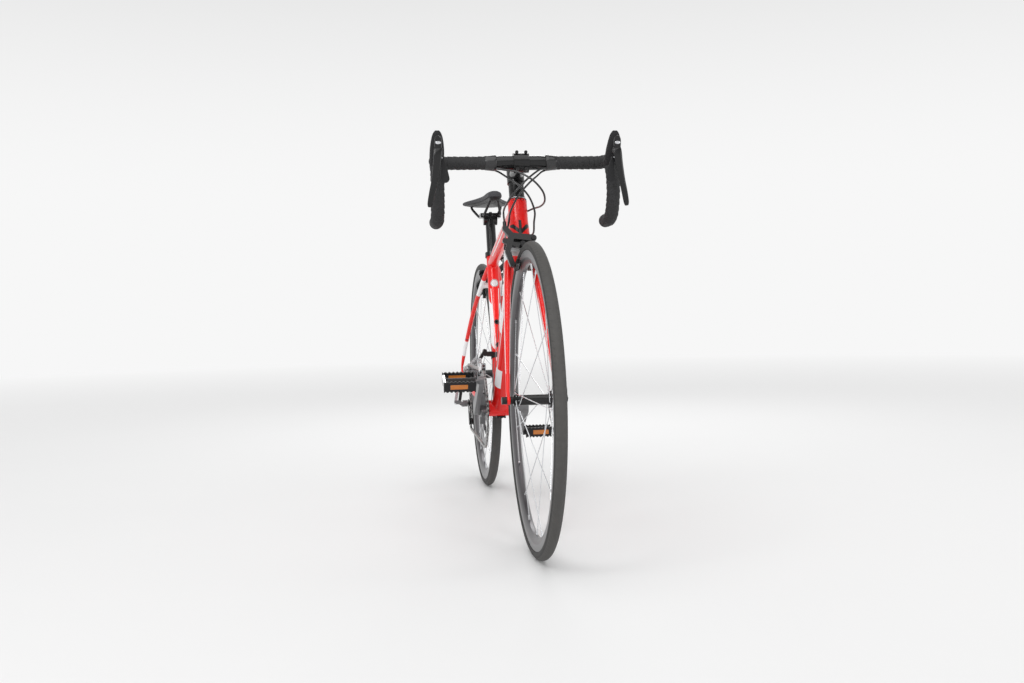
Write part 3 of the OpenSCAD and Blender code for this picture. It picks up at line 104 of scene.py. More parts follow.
# ---------------------------------------------------------------- materials
class Num:
    """A value in a material's node tree, with arithmetic."""

    def __init__(self, tree, socket):
        self.tree, self.socket = tree, socket

    def op(self, kind, *args, clamp=False):
        node = self.tree.nodes.new("ShaderNodeMath")
        node.operation, node.use_clamp = kind, clamp
        for i, a in enumerate((self, *args)):
            if isinstance(a, Num):
                self.tree.links.new(a.socket, node.inputs[i])
            else:
                node.inputs[i].default_value = a
        return Num(self.tree, node.outputs[0])

    def __add__(self, o): return self.op("ADD", o)
    def __radd__(self, o): return self.op("ADD", o)
    def __sub__(self, o): return self.op("SUBTRACT", o)
    def __rsub__(self, o): return (self * -1) + o
    def __mul__(self, o): return self.op("MULTIPLY", o)
    def __rmul__(self, o): return self.op("MULTIPLY", o)
    def __truediv__(self, o): return self.op("DIVIDE", o)
    def abs(self): return self.op("ABSOLUTE")
    def sin(self): return self.op("SINE")
    def mod(self, o): return self.op("PINGPONG", o)

    def above(self, limit, soft):
        """0 below limit, 1 above it, over a soft edge."""
        return ((self - limit) * (1 / soft) + 0.5).op("ADD", 0.0, clamp=True)

    def within(self, low, high, soft):
        return self.above(low, soft) * (1 - self.above(high, soft))


class Paint:
    """A Principled material built from nodes; positions are in millimetres."""

    def __init__(self, name, rough=0.5, metal=0.0, **fixed):
        self.mat = bpy.data.materials.new(name)
        self.mat.use_nodes = True
        self.tree = self.mat.node_tree
        self.bsdf = self.tree.nodes["Principled BSDF"]
        self.set(Roughness=rough, Metallic=metal)
        self.set(**{k.replace("_", " "): v for k, v in fixed.items()})
        coord = self.tree.nodes.new("ShaderNodeTexCoord")
        scale = self.tree.nodes.new("ShaderNodeVectorMath")
        scale.operation = "SCALE"
        scale.inputs["Scale"].default_value = 1000
        self.tree.links.new(coord.outputs["Object"], scale.inputs[0])
        self.vector = scale.outputs[0]
        split = self.tree.nodes.new("ShaderNodeSeparateXYZ")
        self.tree.links.new(self.vector, split.inputs[0])
        self.x, self.y, self.z = (Num(self.tree, o) for o in split.outputs)

    def set(self, **values):
        for key, value in values.items():
            socket = self.bsdf.inputs[key]
            if isinstance(value, Num):
                self.tree.links.new(value.socket, socket)
            elif isinstance(value, bpy.types.NodeSocket):
                self.tree.links.new(value, socket)
            else:
                socket.default_value = value

    def along(self, origin, direction):
        o, d = origin, direction
        return (self.x - float(o[0])) * float(d[0]) + (self.y - float(o[1])) * float(d[1]) \
            + (self.z - float(o[2])) * float(d[2])

    def radius(self, centre):
        return ((self.x - float(centre[0])).op("POWER", 2.0) + (self.z - float(centre[2])).op("POWER", 2.0)) \
            .op("SQRT")

    def angle(self, centre):
        return (self.z - float(centre[2])).op("ARCTAN2", self.x - float(centre[0]))

    def noise(self, size, detail=3.0, rough=0.5, stretch=(1, 1, 1)):
        mapping = self.tree.nodes.new("ShaderNodeMapping")
        mapping.inputs["Scale"].default_value = [s / size for s in stretch]
        self.tree.links.new(self.vector, mapping.inputs[0])
        node = self.tree.nodes.new("ShaderNodeTexNoise")
        node.inputs["Scale"].default_value = 1
        node.inputs["Detail"].default_value = detail
        node.inputs["Roughness"].default_value = rough
        self.tree.links.new(mapping.outputs[0], node.inputs["Vector"])
        return Num(self.tree, node.outputs[0])

    def cells(self, size, feature="F1"):
        mapping = self.tree.nodes.new("ShaderNodeMapping")
        mapping.inputs["Scale"].default_value = [1 / size] * 3
        self.tree.links.new(self.vector, mapping.inputs[0])
        node = self.tree.nodes.new("ShaderNodeTexVoronoi")
        node.feature = feature
        node.inputs["Scale"].default_value = 1
        self.tree.links.new(mapping.outputs[0], node.inputs["Vector"])
        return Num(self.tree, node.outputs["Distance"])

    def mix(self, factor, a, b):
        node = self.tree.nodes.new("ShaderNodeMix")
        node.data_type = "RGBA"
        for i, v in ((0, factor), (6, a), (7, b)):
            if isinstance(v, Num):
                self.tree.links.new(v.socket, node.inputs[i])
            elif isinstance(v, bpy.types.NodeSocket):
                self.tree.links.new(v, node.inputs[i])
            else:
                node.inputs[i].default_value = (*v, 1) if i else v
        return node.outputs[2]

    def tint(self, colour, amount, size, **kw):
        """The colour with a fine variation of its lightness."""
        dark = [c * (1 - amount) for c in colour]
        light = [min(1, c * (1 + amount)) for c in colour]
        return self.mix(self.noise(size, **kw), dark, light)

    def bump(self, height, distance, strength=1.0):
        node = self.tree.nodes.new("ShaderNodeBump")
        node.inputs["Strength"].default_value = strength
        node.inputs["Distance"].default_value = distance * MM
        self.tree.links.new(height.socket, node.inputs["Height"])
        self.tree.links.new(node.outputs[0], self.bsdf.inputs["Normal"])
        return self


RED = (0.80, 0.010, 0.008)
WHITE = (0.86, 0.86, 0.87)
BLACK = (0.012, 0.012, 0.013)
GLOSS = dict(Coat_Weight=0.45, Coat_Roughness=0.04, Coat_IOR=1.5, Specular_IOR_Level=0.2)


def gloss_paint(name, marks):
    """Lacquered paint; marks(paint) gives pairs of a mask and a colour laid over the red."""
    p = Paint(name, rough=0.3, **GLOSS)
    colour = p.tint(RED, 0.06, 60)
    for mask, over in marks(p):
        colour = p.mix(mask, colour, over)
    p.set(**{"Base Color": colour, "Roughness": p.noise(8, 4) * 0.12 + 0.24})
    return p.bump(p.noise(5, 1), 0.02, 0.3).mat


def frame_marks(p):
    s = p.along(DOWN_A, DOWN_DIR)
    down_up = np.array([-DOWN_DIR[2], 0, DOWN_DIR[0]])
    h = p.along(DOWN_A, down_up)
    on_down = p.y.abs().above(9, 0.3) * s.within(40, 560, 1)
    side = on_down * h.abs().above(-1, 0.1)
    panel = side * s.within(150, 330, 0.5) * (h - (s - 240) * 0.03).within(-9, 9, 0.3)
    lines = side * ((h - 13 + (s - 150) * 0.016).abs().within(-1, 0.8, 0.2) * s.within(60, 470, 0.5)
                    + (h + 13 - (s - 150) * 0.016).abs().within(-1, 0.8, 0.2) * s.within(60, 470, 0.5))
    tail = on_down * s.within(455, 520, 0.6)
    t = p.along(TOP_A, TOP_DIR)
    top_up = np.array([-TOP_DIR[2], 0, TOP_DIR[0]])
    g = p.along((TOP_A + TOP_B) / 2, top_up)
    on_top = g.abs().within(-1, 19, 0.2) * t.within(30, 480, 0.5)
    top_line = on_top * (g.abs() - 5).abs().within(-1, 0.9, 0.25) * t.within(110, 420, 0.5) \
        * p.y.abs().above(11, 0.4)
    head = p.along(steer_pt(0, 0, 0), STEER_DIR)
    u = p.along(steer_pt(0, 0, 0), [math.sin(HEAD), 0, math.cos(HEAD)])
    near_head = u.above(-27, 0.5)
    band = near_head * head.within(HEAD_LOW - 1, HEAD_LOW + 13, 0.3)
    ring = near_head * head.within(HEAD_LOW + 13, HEAD_LOW + 14.4, 0.2)
    front = near_head * u.above(8, 0.3)
    wedge = front * (p.y.abs() * 0.8 - (head - HEAD_LOW - 17) * 0.7).abs().within(-1, 4.2, 0.25) \
        * head.within(HEAD_LOW + 16, HEAD_LOW + 40, 0.4)
    post = front * p.y.abs().within(-1, 3.4, 0.2) * head.within(HEAD_LOW + 15, HEAD_LOW + 48, 0.4)
    r = p.along(REAR, [math.cos(TILT), 0, math.sin(TILT)])
    behind = 1 - p.x.above(-262, 0.5)
    stay = behind * p.z.above(352, 0.5) * r.within(62, 118, 0.6)
    stay_line = behind * p.z.above(352, 0.5) * (r - 126).abs().within(-1, 1.6, 0.2)
    cs = (1 - p.z.above(338, 0.5)) * p.x.within(-395, -330, 0.6) * p.y.abs().above(30, 1)
    k = p.along(BB, SEAT_DIR)
    on_seat = p.x.within(-235, -100, 1) * p.along(BB, [math.sin(SEAT), 0, math.cos(SEAT)]).above(5, 0.5)
    disc = ((k - 345).op("POWER", 2.0) + p.y.op("POWER", 2.0)).op("SQRT")
    seat_disc = on_seat * (1 - disc.above(11, 0.3))
    disc_rim = on_seat * disc.within(9.2, 10.2, 0.2)
    seat_lines = on_seat * k.within(96, 330, 0.5) * (p.y.abs() - 2 - k * 0.026).abs().within(-1, 0.9, 0.2)
    return [(panel, WHITE), (lines, WHITE), (tail, WHITE), (top_line, WHITE), (band, WHITE), (ring, BLACK),
            (wedge, BLACK), (post, BLACK), (stay, WHITE), (stay_line, BLACK), (cs, WHITE),
            (seat_disc, (0.70, 0.70, 0.71)), (disc_rim, BLACK), (seat_lines, WHITE)]


def fork_marks(p):
    s = p.along(FOOT, STEER_DIR)
    u = p.along(FOOT, [math.sin(HEAD), 0, math.cos(HEAD)])
    crown = s.above(316, 0.5) * (s + p.y.abs() * 0.5).above(343, 0.5)
    side = p.y.abs().above(31, 0.4)
    centre = u - (1 - s / 350.0).op("MAXIMUM", 0.0).op("POWER", 1.8) * 43
    stripe = s.within(70, 300, 0.5) * centre.abs().within(-1, 3.4, 0.3)
    thin = s.within(60, 310, 0.5) * (centre.abs() - 6.6).abs().within(-1, 0.8, 0.2)
    grey = s.above(352, 0.4) * u.above(10, 0.5)
    return [(crown, (0.80, 0.80, 0.81)), (grey, (0.42, 0.42, 0.43)), (side * stripe, WHITE), (side * thin, WHITE)]


def plain(name, colour, rough, metal=0.0, vary=0.12, size=6, grain=0.0, grain_size=0.6, spread=0.08,
          stretch=(1, 1, 1), **fixed):
    p = Paint(name, rough=rough, metal=metal, **fixed)
    p.set(**{"Base Color": p.tint(colour, vary, size, stretch=stretch),
             "Roughness": p.noise(size * 0.7, 4, stretch=stretch) * spread + (rough - spread / 2)})
    if grain:
        p.bump(p.noise(grain_size, 3, 0.6), grain)
    return p.mat


def leather(name, colour, cell, depth, rough=0.62):
    p = Paint(name, rough=rough, Specular_IOR_Level=0.25)
    cells = p.cells(cell)
    p.set(**{"Base Color": p.mix(cells, [c * 0.8 for c in colour], [c * 1.25 for c in colour]),
             "Roughness": cells * 0.15 + (rough - 0.07)})
    return p.bump(cells * 0.8 + p.noise(cell * 4, 2) * 0.4, depth).mat


def rim_paint(name, centre):
    p = Paint(name, rough=0.34, metal=1.0)
    r = p.radius(centre)
    lathe = p.noise(1.0, 2, stretch=(0.02, 0.02, 0.02))
    fine = (r * 5.5).sin() * 0.5 + 0.5
    track = r.above(302.3, 0.3) * p.y.abs().above(8.8, 0.3)
    body = p.mix(lathe, (0.105, 0.10, 0.105), (0.14, 0.135, 0.14))
    p.set(**{"Base Color": p.mix(track, body, (0.25, 0.25, 0.255)), "Roughness": track * 0.08 + 0.30 + fine * 0.05})
    return p.bump(fine * track, 0.02, 0.5).mat


def tyre_paint(name, centre):
    p = Paint(name, rough=0.78)
    r, a = p.radius(centre), p.angle(centre)
    dust = p.noise(14, 4)
    tread = r.above(329.5, 2.0)
    worn = p.mix(dust, (0.050, 0.048, 0.046), (0.082, 0.079, 0.075))
    colour = p.mix(tread, p.tint((0.030, 0.029, 0.028), 0.25, 9), worn)
    p.set(**{"Base Color": colour, "Roughness": dust * 0.16 + 0.66})
    ribs = (r * 4.2).sin() * r.within(316, 322, 0.4)
    casing = (r * 3.1 + a * 520).sin() * (1 - tread) * 0.25
    return p.bump(ribs + casing + p.noise(0.7, 2) * 0.5, 0.06, 0.6).mat


def brushed(name, colour, rough, stretch=(0.15, 3, 3), size=1.2):
    p = Paint(name, rough=rough, metal=1.0)
    streak = p.noise(size, 3, stretch=stretch)
    p.set(**{"Base Color": p.mix(streak, [c * 0.85 for c in colour], [min(1, c * 1.1) for c in colour]),
             "Roughness": streak * 0.14 + (rough - 0.07)})
    return p.bump(streak, 0.012, 0.5).mat


def weave_tape(name):
    """Bar tape: soft foam ribbon with rows of small perforations, darkened inside with painted shade."""
    p = Paint(name, rough=0.72)
    dots = p.cells(2.6)
    # The darker colour at the perforation centres is painted shade in the holes; the foam itself is one black.
    p.set(**{"Base Color": p.mix(dots.above(0.22, 0.1), (0.012, 0.012, 0.012), (0.036, 0.036, 0.037)),
             "Roughness": p.noise(3, 3) * 0.14 + 0.62, "Specular IOR Level": 0.22})
    return p.bump(dots.above(0.25, 0.3) + p.noise(0.8, 2) * 0.35, 0.12, 0.7).mat


def reflector(name):
    # Painted glow: a faint orange emission stands in for light sent back by the reflector, which is no lamp.
    p = Paint(name, rough=0.12, Coat_Weight=0.6, Emission_Strength=0.05)
    prism_relief_and_glint = ((p.y * 2.4).sin() * (p.z * 2.4).sin()) * 0.5 + 0.5
    # The prism grid paints lighter and darker amber facets as painted glints; the same grid also gives the facets
    # their relief.
    colour = p.mix(prism_relief_and_glint, (0.36, 0.09, 0.008), (0.62, 0.20, 0.015))
    p.set(**{"Base Color": colour, "Emission Color": (0.9, 0.3, 0.03, 1)})
    return p.bump(prism_relief_and_glint, 0.25).mat


M = {
    "frame": gloss_paint("frame_paint", frame_marks),
    "fork": gloss_paint("fork_paint", fork_marks),
    "black": plain("black_gloss_alloy", (0.007, 0.007, 0.0075), 0.24, 0.0, 0.2, 12, 0.01, 3, **GLOSS),
    "satin": plain("black_satin_alloy", (0.012, 0.012, 0.0125), 0.30, 0.0, 0.15, 4, 0.02, 0.5,
                   Specular_IOR_Level=0.35),
    "grey": plain("grey_anodised_alloy", (0.20, 0.20, 0.205), 0.34, 1.0, 0.10, 10, 0.008, 0.7),
    "silver": brushed("polished_silver", (0.70, 0.71, 0.73), 0.18),
    "steel": brushed("drawn_steel", (0.27, 0.27, 0.275), 0.30, (1, 1, 1), 0.8),
    "chain": plain("chain_steel", (0.33, 0.325, 0.32), 0.34, 1.0, 0.35, 5, 0.01, 1.0, 0.2),
    "cogs": brushed("cog_steel", (0.52, 0.52, 0.53), 0.26, (1, 1, 1), 0.9),
    "plastic": plain("black_plastic", (0.013, 0.013, 0.014), 0.42, 0.0, 0.15, 5, 0.03, 0.45,
                     Specular_IOR_Level=0.3),
    "rubber": leather("hood_rubber_grain", (0.016, 0.016, 0.017), 0.9, 0.05, 0.66),
    "pad": plain("brake_rubber", (0.030, 0.030, 0.032), 0.75, 0.0, 0.2, 3, 0.05, 0.5),
    "saddle": leather("saddle_leather", (0.050, 0.050, 0.055), 1.1, 0.07, 0.58),
    "tape": weave_tape("bar_tape_foam"),
    "housing": plain("cable_housing", (0.010, 0.010, 0.011), 0.32, 0.0, 0.2, 20, 0.01, 2.0, Coat_Weight=0.4),
    "rim_f": rim_paint("front_rim_anodised", FRONT),
    "rim_r": rim_paint("rear_rim_anodised", REAR),
    "tyre_f": tyre_paint("front_tyre_rubber", FRONT),
    "tyre_r": tyre_paint("rear_tyre_rubber", REAR),
    "amber": reflector("amber_reflector_painted_glow"),
}


# ---------------------------------------------------------------- mesh helpers
def add(name, verts, faces, mat, body, smooth=40, replaces=(), scale=MM, slot=None, ride=True):
    mesh = bpy.data.meshes.new(name)
    mesh.from_pydata([tuple(v) for v in np.asarray(verts, float) * scale], [], faces)
    bm = bmesh.new()
    bm.from_mesh(mesh)
    bmesh.ops.recalc_face_normals(bm, faces=bm.faces)
    bm.to_mesh(mesh)
    bm.free()
    obj = bpy.data.objects.new(name, mesh)
    bpy.context.scene.collection.objects.link(obj)
    mesh.materials.append(M[mat] if isinstance(mat, str) else mat)
    shade(mesh, smooth)
    if ride:
        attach(obj, body)
    if replaces:
        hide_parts(*replaces)
    slot = slot or (SLOT[replaces[0]] if replaces else None)
    return obj


def shade(mesh, degrees):
    mesh.polygons.foreach_set("use_smooth", [True] * len(mesh.polygons))
    mesh.set_sharp_from_angle(angle=math.radians(degrees))


def spline(points, n):
    p = np.asarray(points, float)
    out = []
    for i in range(len(p) - 1):
        a, b, c, d = p[max(i - 1, 0)], p[i], p[i + 1], p[min(i + 2, len(p) - 1)]
        for t in np.arange(n) / n:
            out.append(0.5 * (2 * b + (c - a) * t + (2 * a - 5 * b + 4 * c - d) * t ** 2
                              + (3 * b - a - 3 * c + d) * t ** 3))
    return np.array([*out, p[-1]])


def sweep(points, side, m, power=2.0, offset=None):
    """Rings round points [x, y, z, half width, half depth]; power above 2 makes them boxier."""
    s = np.asarray(points, float)
    verts = []
    angles = np.arange(m) * 2 * PI / m
    side = np.asarray(side, float)
    for i in range(len(s)):
        t = unit(s[min(i + 1, len(s) - 1), :3] - s[max(i - 1, 0), :3])
        n1 = unit(side - (side @ t) * t)
        n2 = np.cross(t, n1)
        c, d = np.cos(angles), np.sin(angles)
        ex = 2 / power
        cx, sx = np.sign(c) * abs(c) ** ex, np.sign(d) * abs(d) ** ex
        grow = 0 if offset is None else offset(i, angles)
        a, b = s[i, 3] + grow, s[i, 4] + grow
        verts.append(s[i, :3] + (a * cx)[:, None] * n1 + (b * sx)[:, None] * n2)
    return np.concatenate(verts)


def skin(n, m, caps=True, k=0):
    faces = [(k + i * m + j, k + (i + 1) * m + j, k + (i + 1) * m + (j + 1) % m, k + i * m + (j + 1) % m)
             for i in range(n - 1) for j in range(m)]
    if caps:
        faces += [tuple(k + j for j in range(m)), tuple(k + (n - 1) * m + j for j in reversed(range(m)))]
    return faces


def tube(name, points, mat, body, side=(0, 1, 0), n=6, m=24, power=2.0, **kw):
    s = spline(points, n) if n > 1 else np.asarray(points, float)
    return add(name, sweep(s, side, m, power), skin(len(s), m), mat, body, **kw)


def merge(*parts):
    """Several (verts, faces) as one."""
    verts, faces, k = [], [], 0
    for v, f in parts:
        verts.append(v)
        faces += [tuple(i + k for i in q) for q in f]
        k += len(v)
    return np.concatenate(verts), faces


def rod(a, b, r, m=16, ends=None):
    a, b = np.asarray(a, float), np.asarray(b, float)
    side = (0.3, 0.2, 0.93) if abs(unit(b - a)[2]) < 0.8 else (0.9, 0.3, 0.1)
    r0, r1 = (r, r) if np.isscalar(r) else r
    return sweep([[*a, r0, r0], [*b, r1, r1]], side, m), skin(2, m)


def bevelled(obj, width, segments=2, angle=32):
    mod = obj.modifiers.new("bevel", "BEVEL")
    mod.width, mod.segments, mod.limit_method, mod.angle_limit = width * MM, segments, "ANGLE", math.radians(angle)
    mod.harden_normals = False
    mod.use_clamp_overlap = True
    return obj


def islands(node):
    """The node's CAD mesh, welded, as one bmesh per solid."""
    bm = bmesh.new()
    bm.from_mesh(NODES[node].data)
    bmesh.ops.remove_doubles(bm, verts=bm.verts, dist=1e-6)
    bmesh.ops.dissolve_limit(bm, angle_limit=math.radians(0.6), verts=bm.verts, edges=bm.edges)
    seen, groups = set(), []
    for v in bm.verts:
        if v in seen:
            continue
        stack, group = [v], []
        seen.add(v)
        while stack:
            w = stack.pop()
            group.append(w)
            for e in w.link_edges:
                o = e.other_vert(w)
                if o not in seen:
                    seen.add(o)
                    stack.append(o)
        groups.append(group)
    out = []
    for group in groups:
        index = {v: i for i, v in enumerate(group)}
        co = np.array([v.co for v in group]) / MM
        faces = {f for v in group for f in v.link_faces}
        faces = sorted(([index[v] for v in f.verts] for f in faces), key=min)
        out.append((co, [tuple(f) for f in faces]))
    bm.free()
    return sorted(out, key=lambda g: -np.prod(np.ptp(g[0], axis=0)))


def refine(node, mat, bevel=0.5, pick=None, smooth=32, segments=2):
    """Pieces with the node's own shape, fine bevels and one material for each kind of solid."""
    groups = {}
    for co, faces in islands(node):
        key = (pick(co) if pick else None) or mat
        groups.setdefault(key, []).append((co, faces))
    made = []
    for key, parts in groups.items():
        v, f = merge(*parts)
        name = node + "_" + key if len(groups) > 1 else node + "_body"
        obj = add(name, v, f, key, BODY[node], smooth, (node,))
        if bevel:
            bevelled(obj, bevel, segments)
        made.append(obj)
    return made


def size(co):
    return np.ptp(co, axis=0)


# ---------------------------------------------------------------- painted frame and fork
def shell(name, nodes, mat, voxel, rounds, body):
    """One smooth welded shell round the outer shapes of several CAD nodes."""
    v, f = merge(*(g for n in nodes for g in islands(n)))
    obj = add(name, v, f, mat, body, replaces=nodes, ride=False)
    remesh = obj.modifiers.new("weld", "REMESH")
    remesh.mode, remesh.voxel_size, remesh.use_smooth_shade = "VOXEL", voxel * MM, True
    soften = obj.modifiers.new("fillet", "SMOOTH")
    soften.factor, soften.iterations = 0.5, rounds
    bpy.context.view_layer.update()
    result = obj.evaluated_get(bpy.context.evaluated_depsgraph_get())
    mesh = bpy.data.meshes.new_from_object(result)
    obj.modifiers.clear()
    obj.data = mesh
    mesh.materials.clear()
    mesh.materials.append(M[mat])
    mesh.polygons.foreach_set("use_smooth", [True] * len(mesh.polygons))
    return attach(obj, body)


FRAME_NODES = ["head_tube", "top_tube", "down_tube", "seat_tube", "bottom_bracket_shell", "chainstays", "seatstays"]
shell("frame_shell", FRAME_NODES, "frame", 1.5, 8, "frame")
shell("fork_shell", ["fork"], "fork", 1.3, 6, "steering")


# ---------------------------------------------------------------- wheels
def ring_surface(profile, columns, centre, y_flip=False):
    """Surface of rings: columns is a list of functions angle(row) and profile rows are (radius, y) per column."""
    rows = len(profile[0])
    verts = [(centre[0] + p[0] * math.cos(a[k]), centre[1] + p[1], centre[2] + p[0] * math.sin(a[k]))
             for prof, a in zip(profile, columns) for k, p in enumerate(prof)]
    n = len(profile)
    faces = []
    for i in range(n):
        here, there = i * rows, (i + 1) % n * rows
        faces += [(here + k, there + k, there + (k + 1) % rows, here + (k + 1) % rows) for k in range(rows)]
    return verts, faces


def tyre(name, node, centre, mat):
    """A tyre with slanted V grooves cut into both shoulders and a ridge along each sidewall."""
    pitches, core, round_r = 150, 323.5, 12.5
    arc = [-118, -104, -92, -80, -72, -66, -58, -50, -42, -34, -26, -18, -9]
    arc = arc + [0] + [-a for a in reversed(arc)]
    cuts = (0.0, 0.12, 0.21, 0.30, 0.55, 0.78)
    profile, columns = [], []
    for k in range(pitches):
        for c, cut in enumerate(cuts):
            rows, angles = [], []
            for q in arc:
                groove = 0.55 if c == 2 and 24 < abs(q) < 60 else 0.0
                ridge = 0.35 if abs(q) == 80 else 0.0
                flat = 0.25 if abs(q) < 5 else 0.0
                r = round_r - groove + ridge - flat
                rows.append((core + r * math.cos(math.radians(q)), r * math.sin(math.radians(q))))
                angles.append((k + cut + abs(q) * 0.011) * 2 * PI / pitches)
            rows += [(317.4, 8.3), (312.5, 7.6), (312.5, -7.6), (317.4, -8.3)]
            angles += [angles[-1]] * 2 + [angles[0]] * 2
            profile.append(rows)
            columns.append(angles)
    verts, faces = ring_surface(profile, columns, centre)
    return add(name, verts, faces, mat, BODY[node], 50, (node,))


tyre("front_tyre_tread", "front_tyre", FRONT, "tyre_f")
tyre("rear_tyre_tread", "rear_tyre", REAR, "tyre_r")
for end, mat in (("front", "rim_f"), ("rear", "rim_r")):
    refine(end + "_rim", mat, 0.25, lambda co: "silver" if size(co).max() < 80 else None, 24)
    refine(end + "_spokes", "silver", 0, smooth=60)
    refine(end + "_hub", "black", 0.35, smooth=30)
    refine(end + "_axle", "satin", 0.25, smooth=30)
    refine(end + "_qr_lever", "black", 0.5, smooth=40)

# ---------------------------------------------------------------- handlebar, tape, hoods and levers
def bar_side(side, first=60):
    path = [[0, 60, 0, 14, 14], [0, 88, 0, BAR_R, BAR_R], [0, 125, 0, BAR_R, BAR_R]]
    path += [[BEND_R * (1 - math.cos(math.radians(a))), HALF_W - BEND_R + BEND_R * math.sin(math.radians(a)), 0,
              BAR_R, BAR_R] for a in range(0, 91, 18)]
    path += [[HOOK_X + (REACH - HOOK_X) * math.cos(math.radians(a)), HALF_W,
              (math.sin(math.radians(a)) - 1) * DROP / 2, BAR_R, BAR_R] for a in range(75, -91, -15)]
    path += [[HOOK_X - 17, HALF_W, -DROP, BAR_R, BAR_R], [HOOK_X - 35, HALF_W, -DROP, BAR_R, BAR_R]]
    return [[BAR[0] + p[0], side * p[1], BAR[2] + p[2], p[3], p[4]] for p in path]


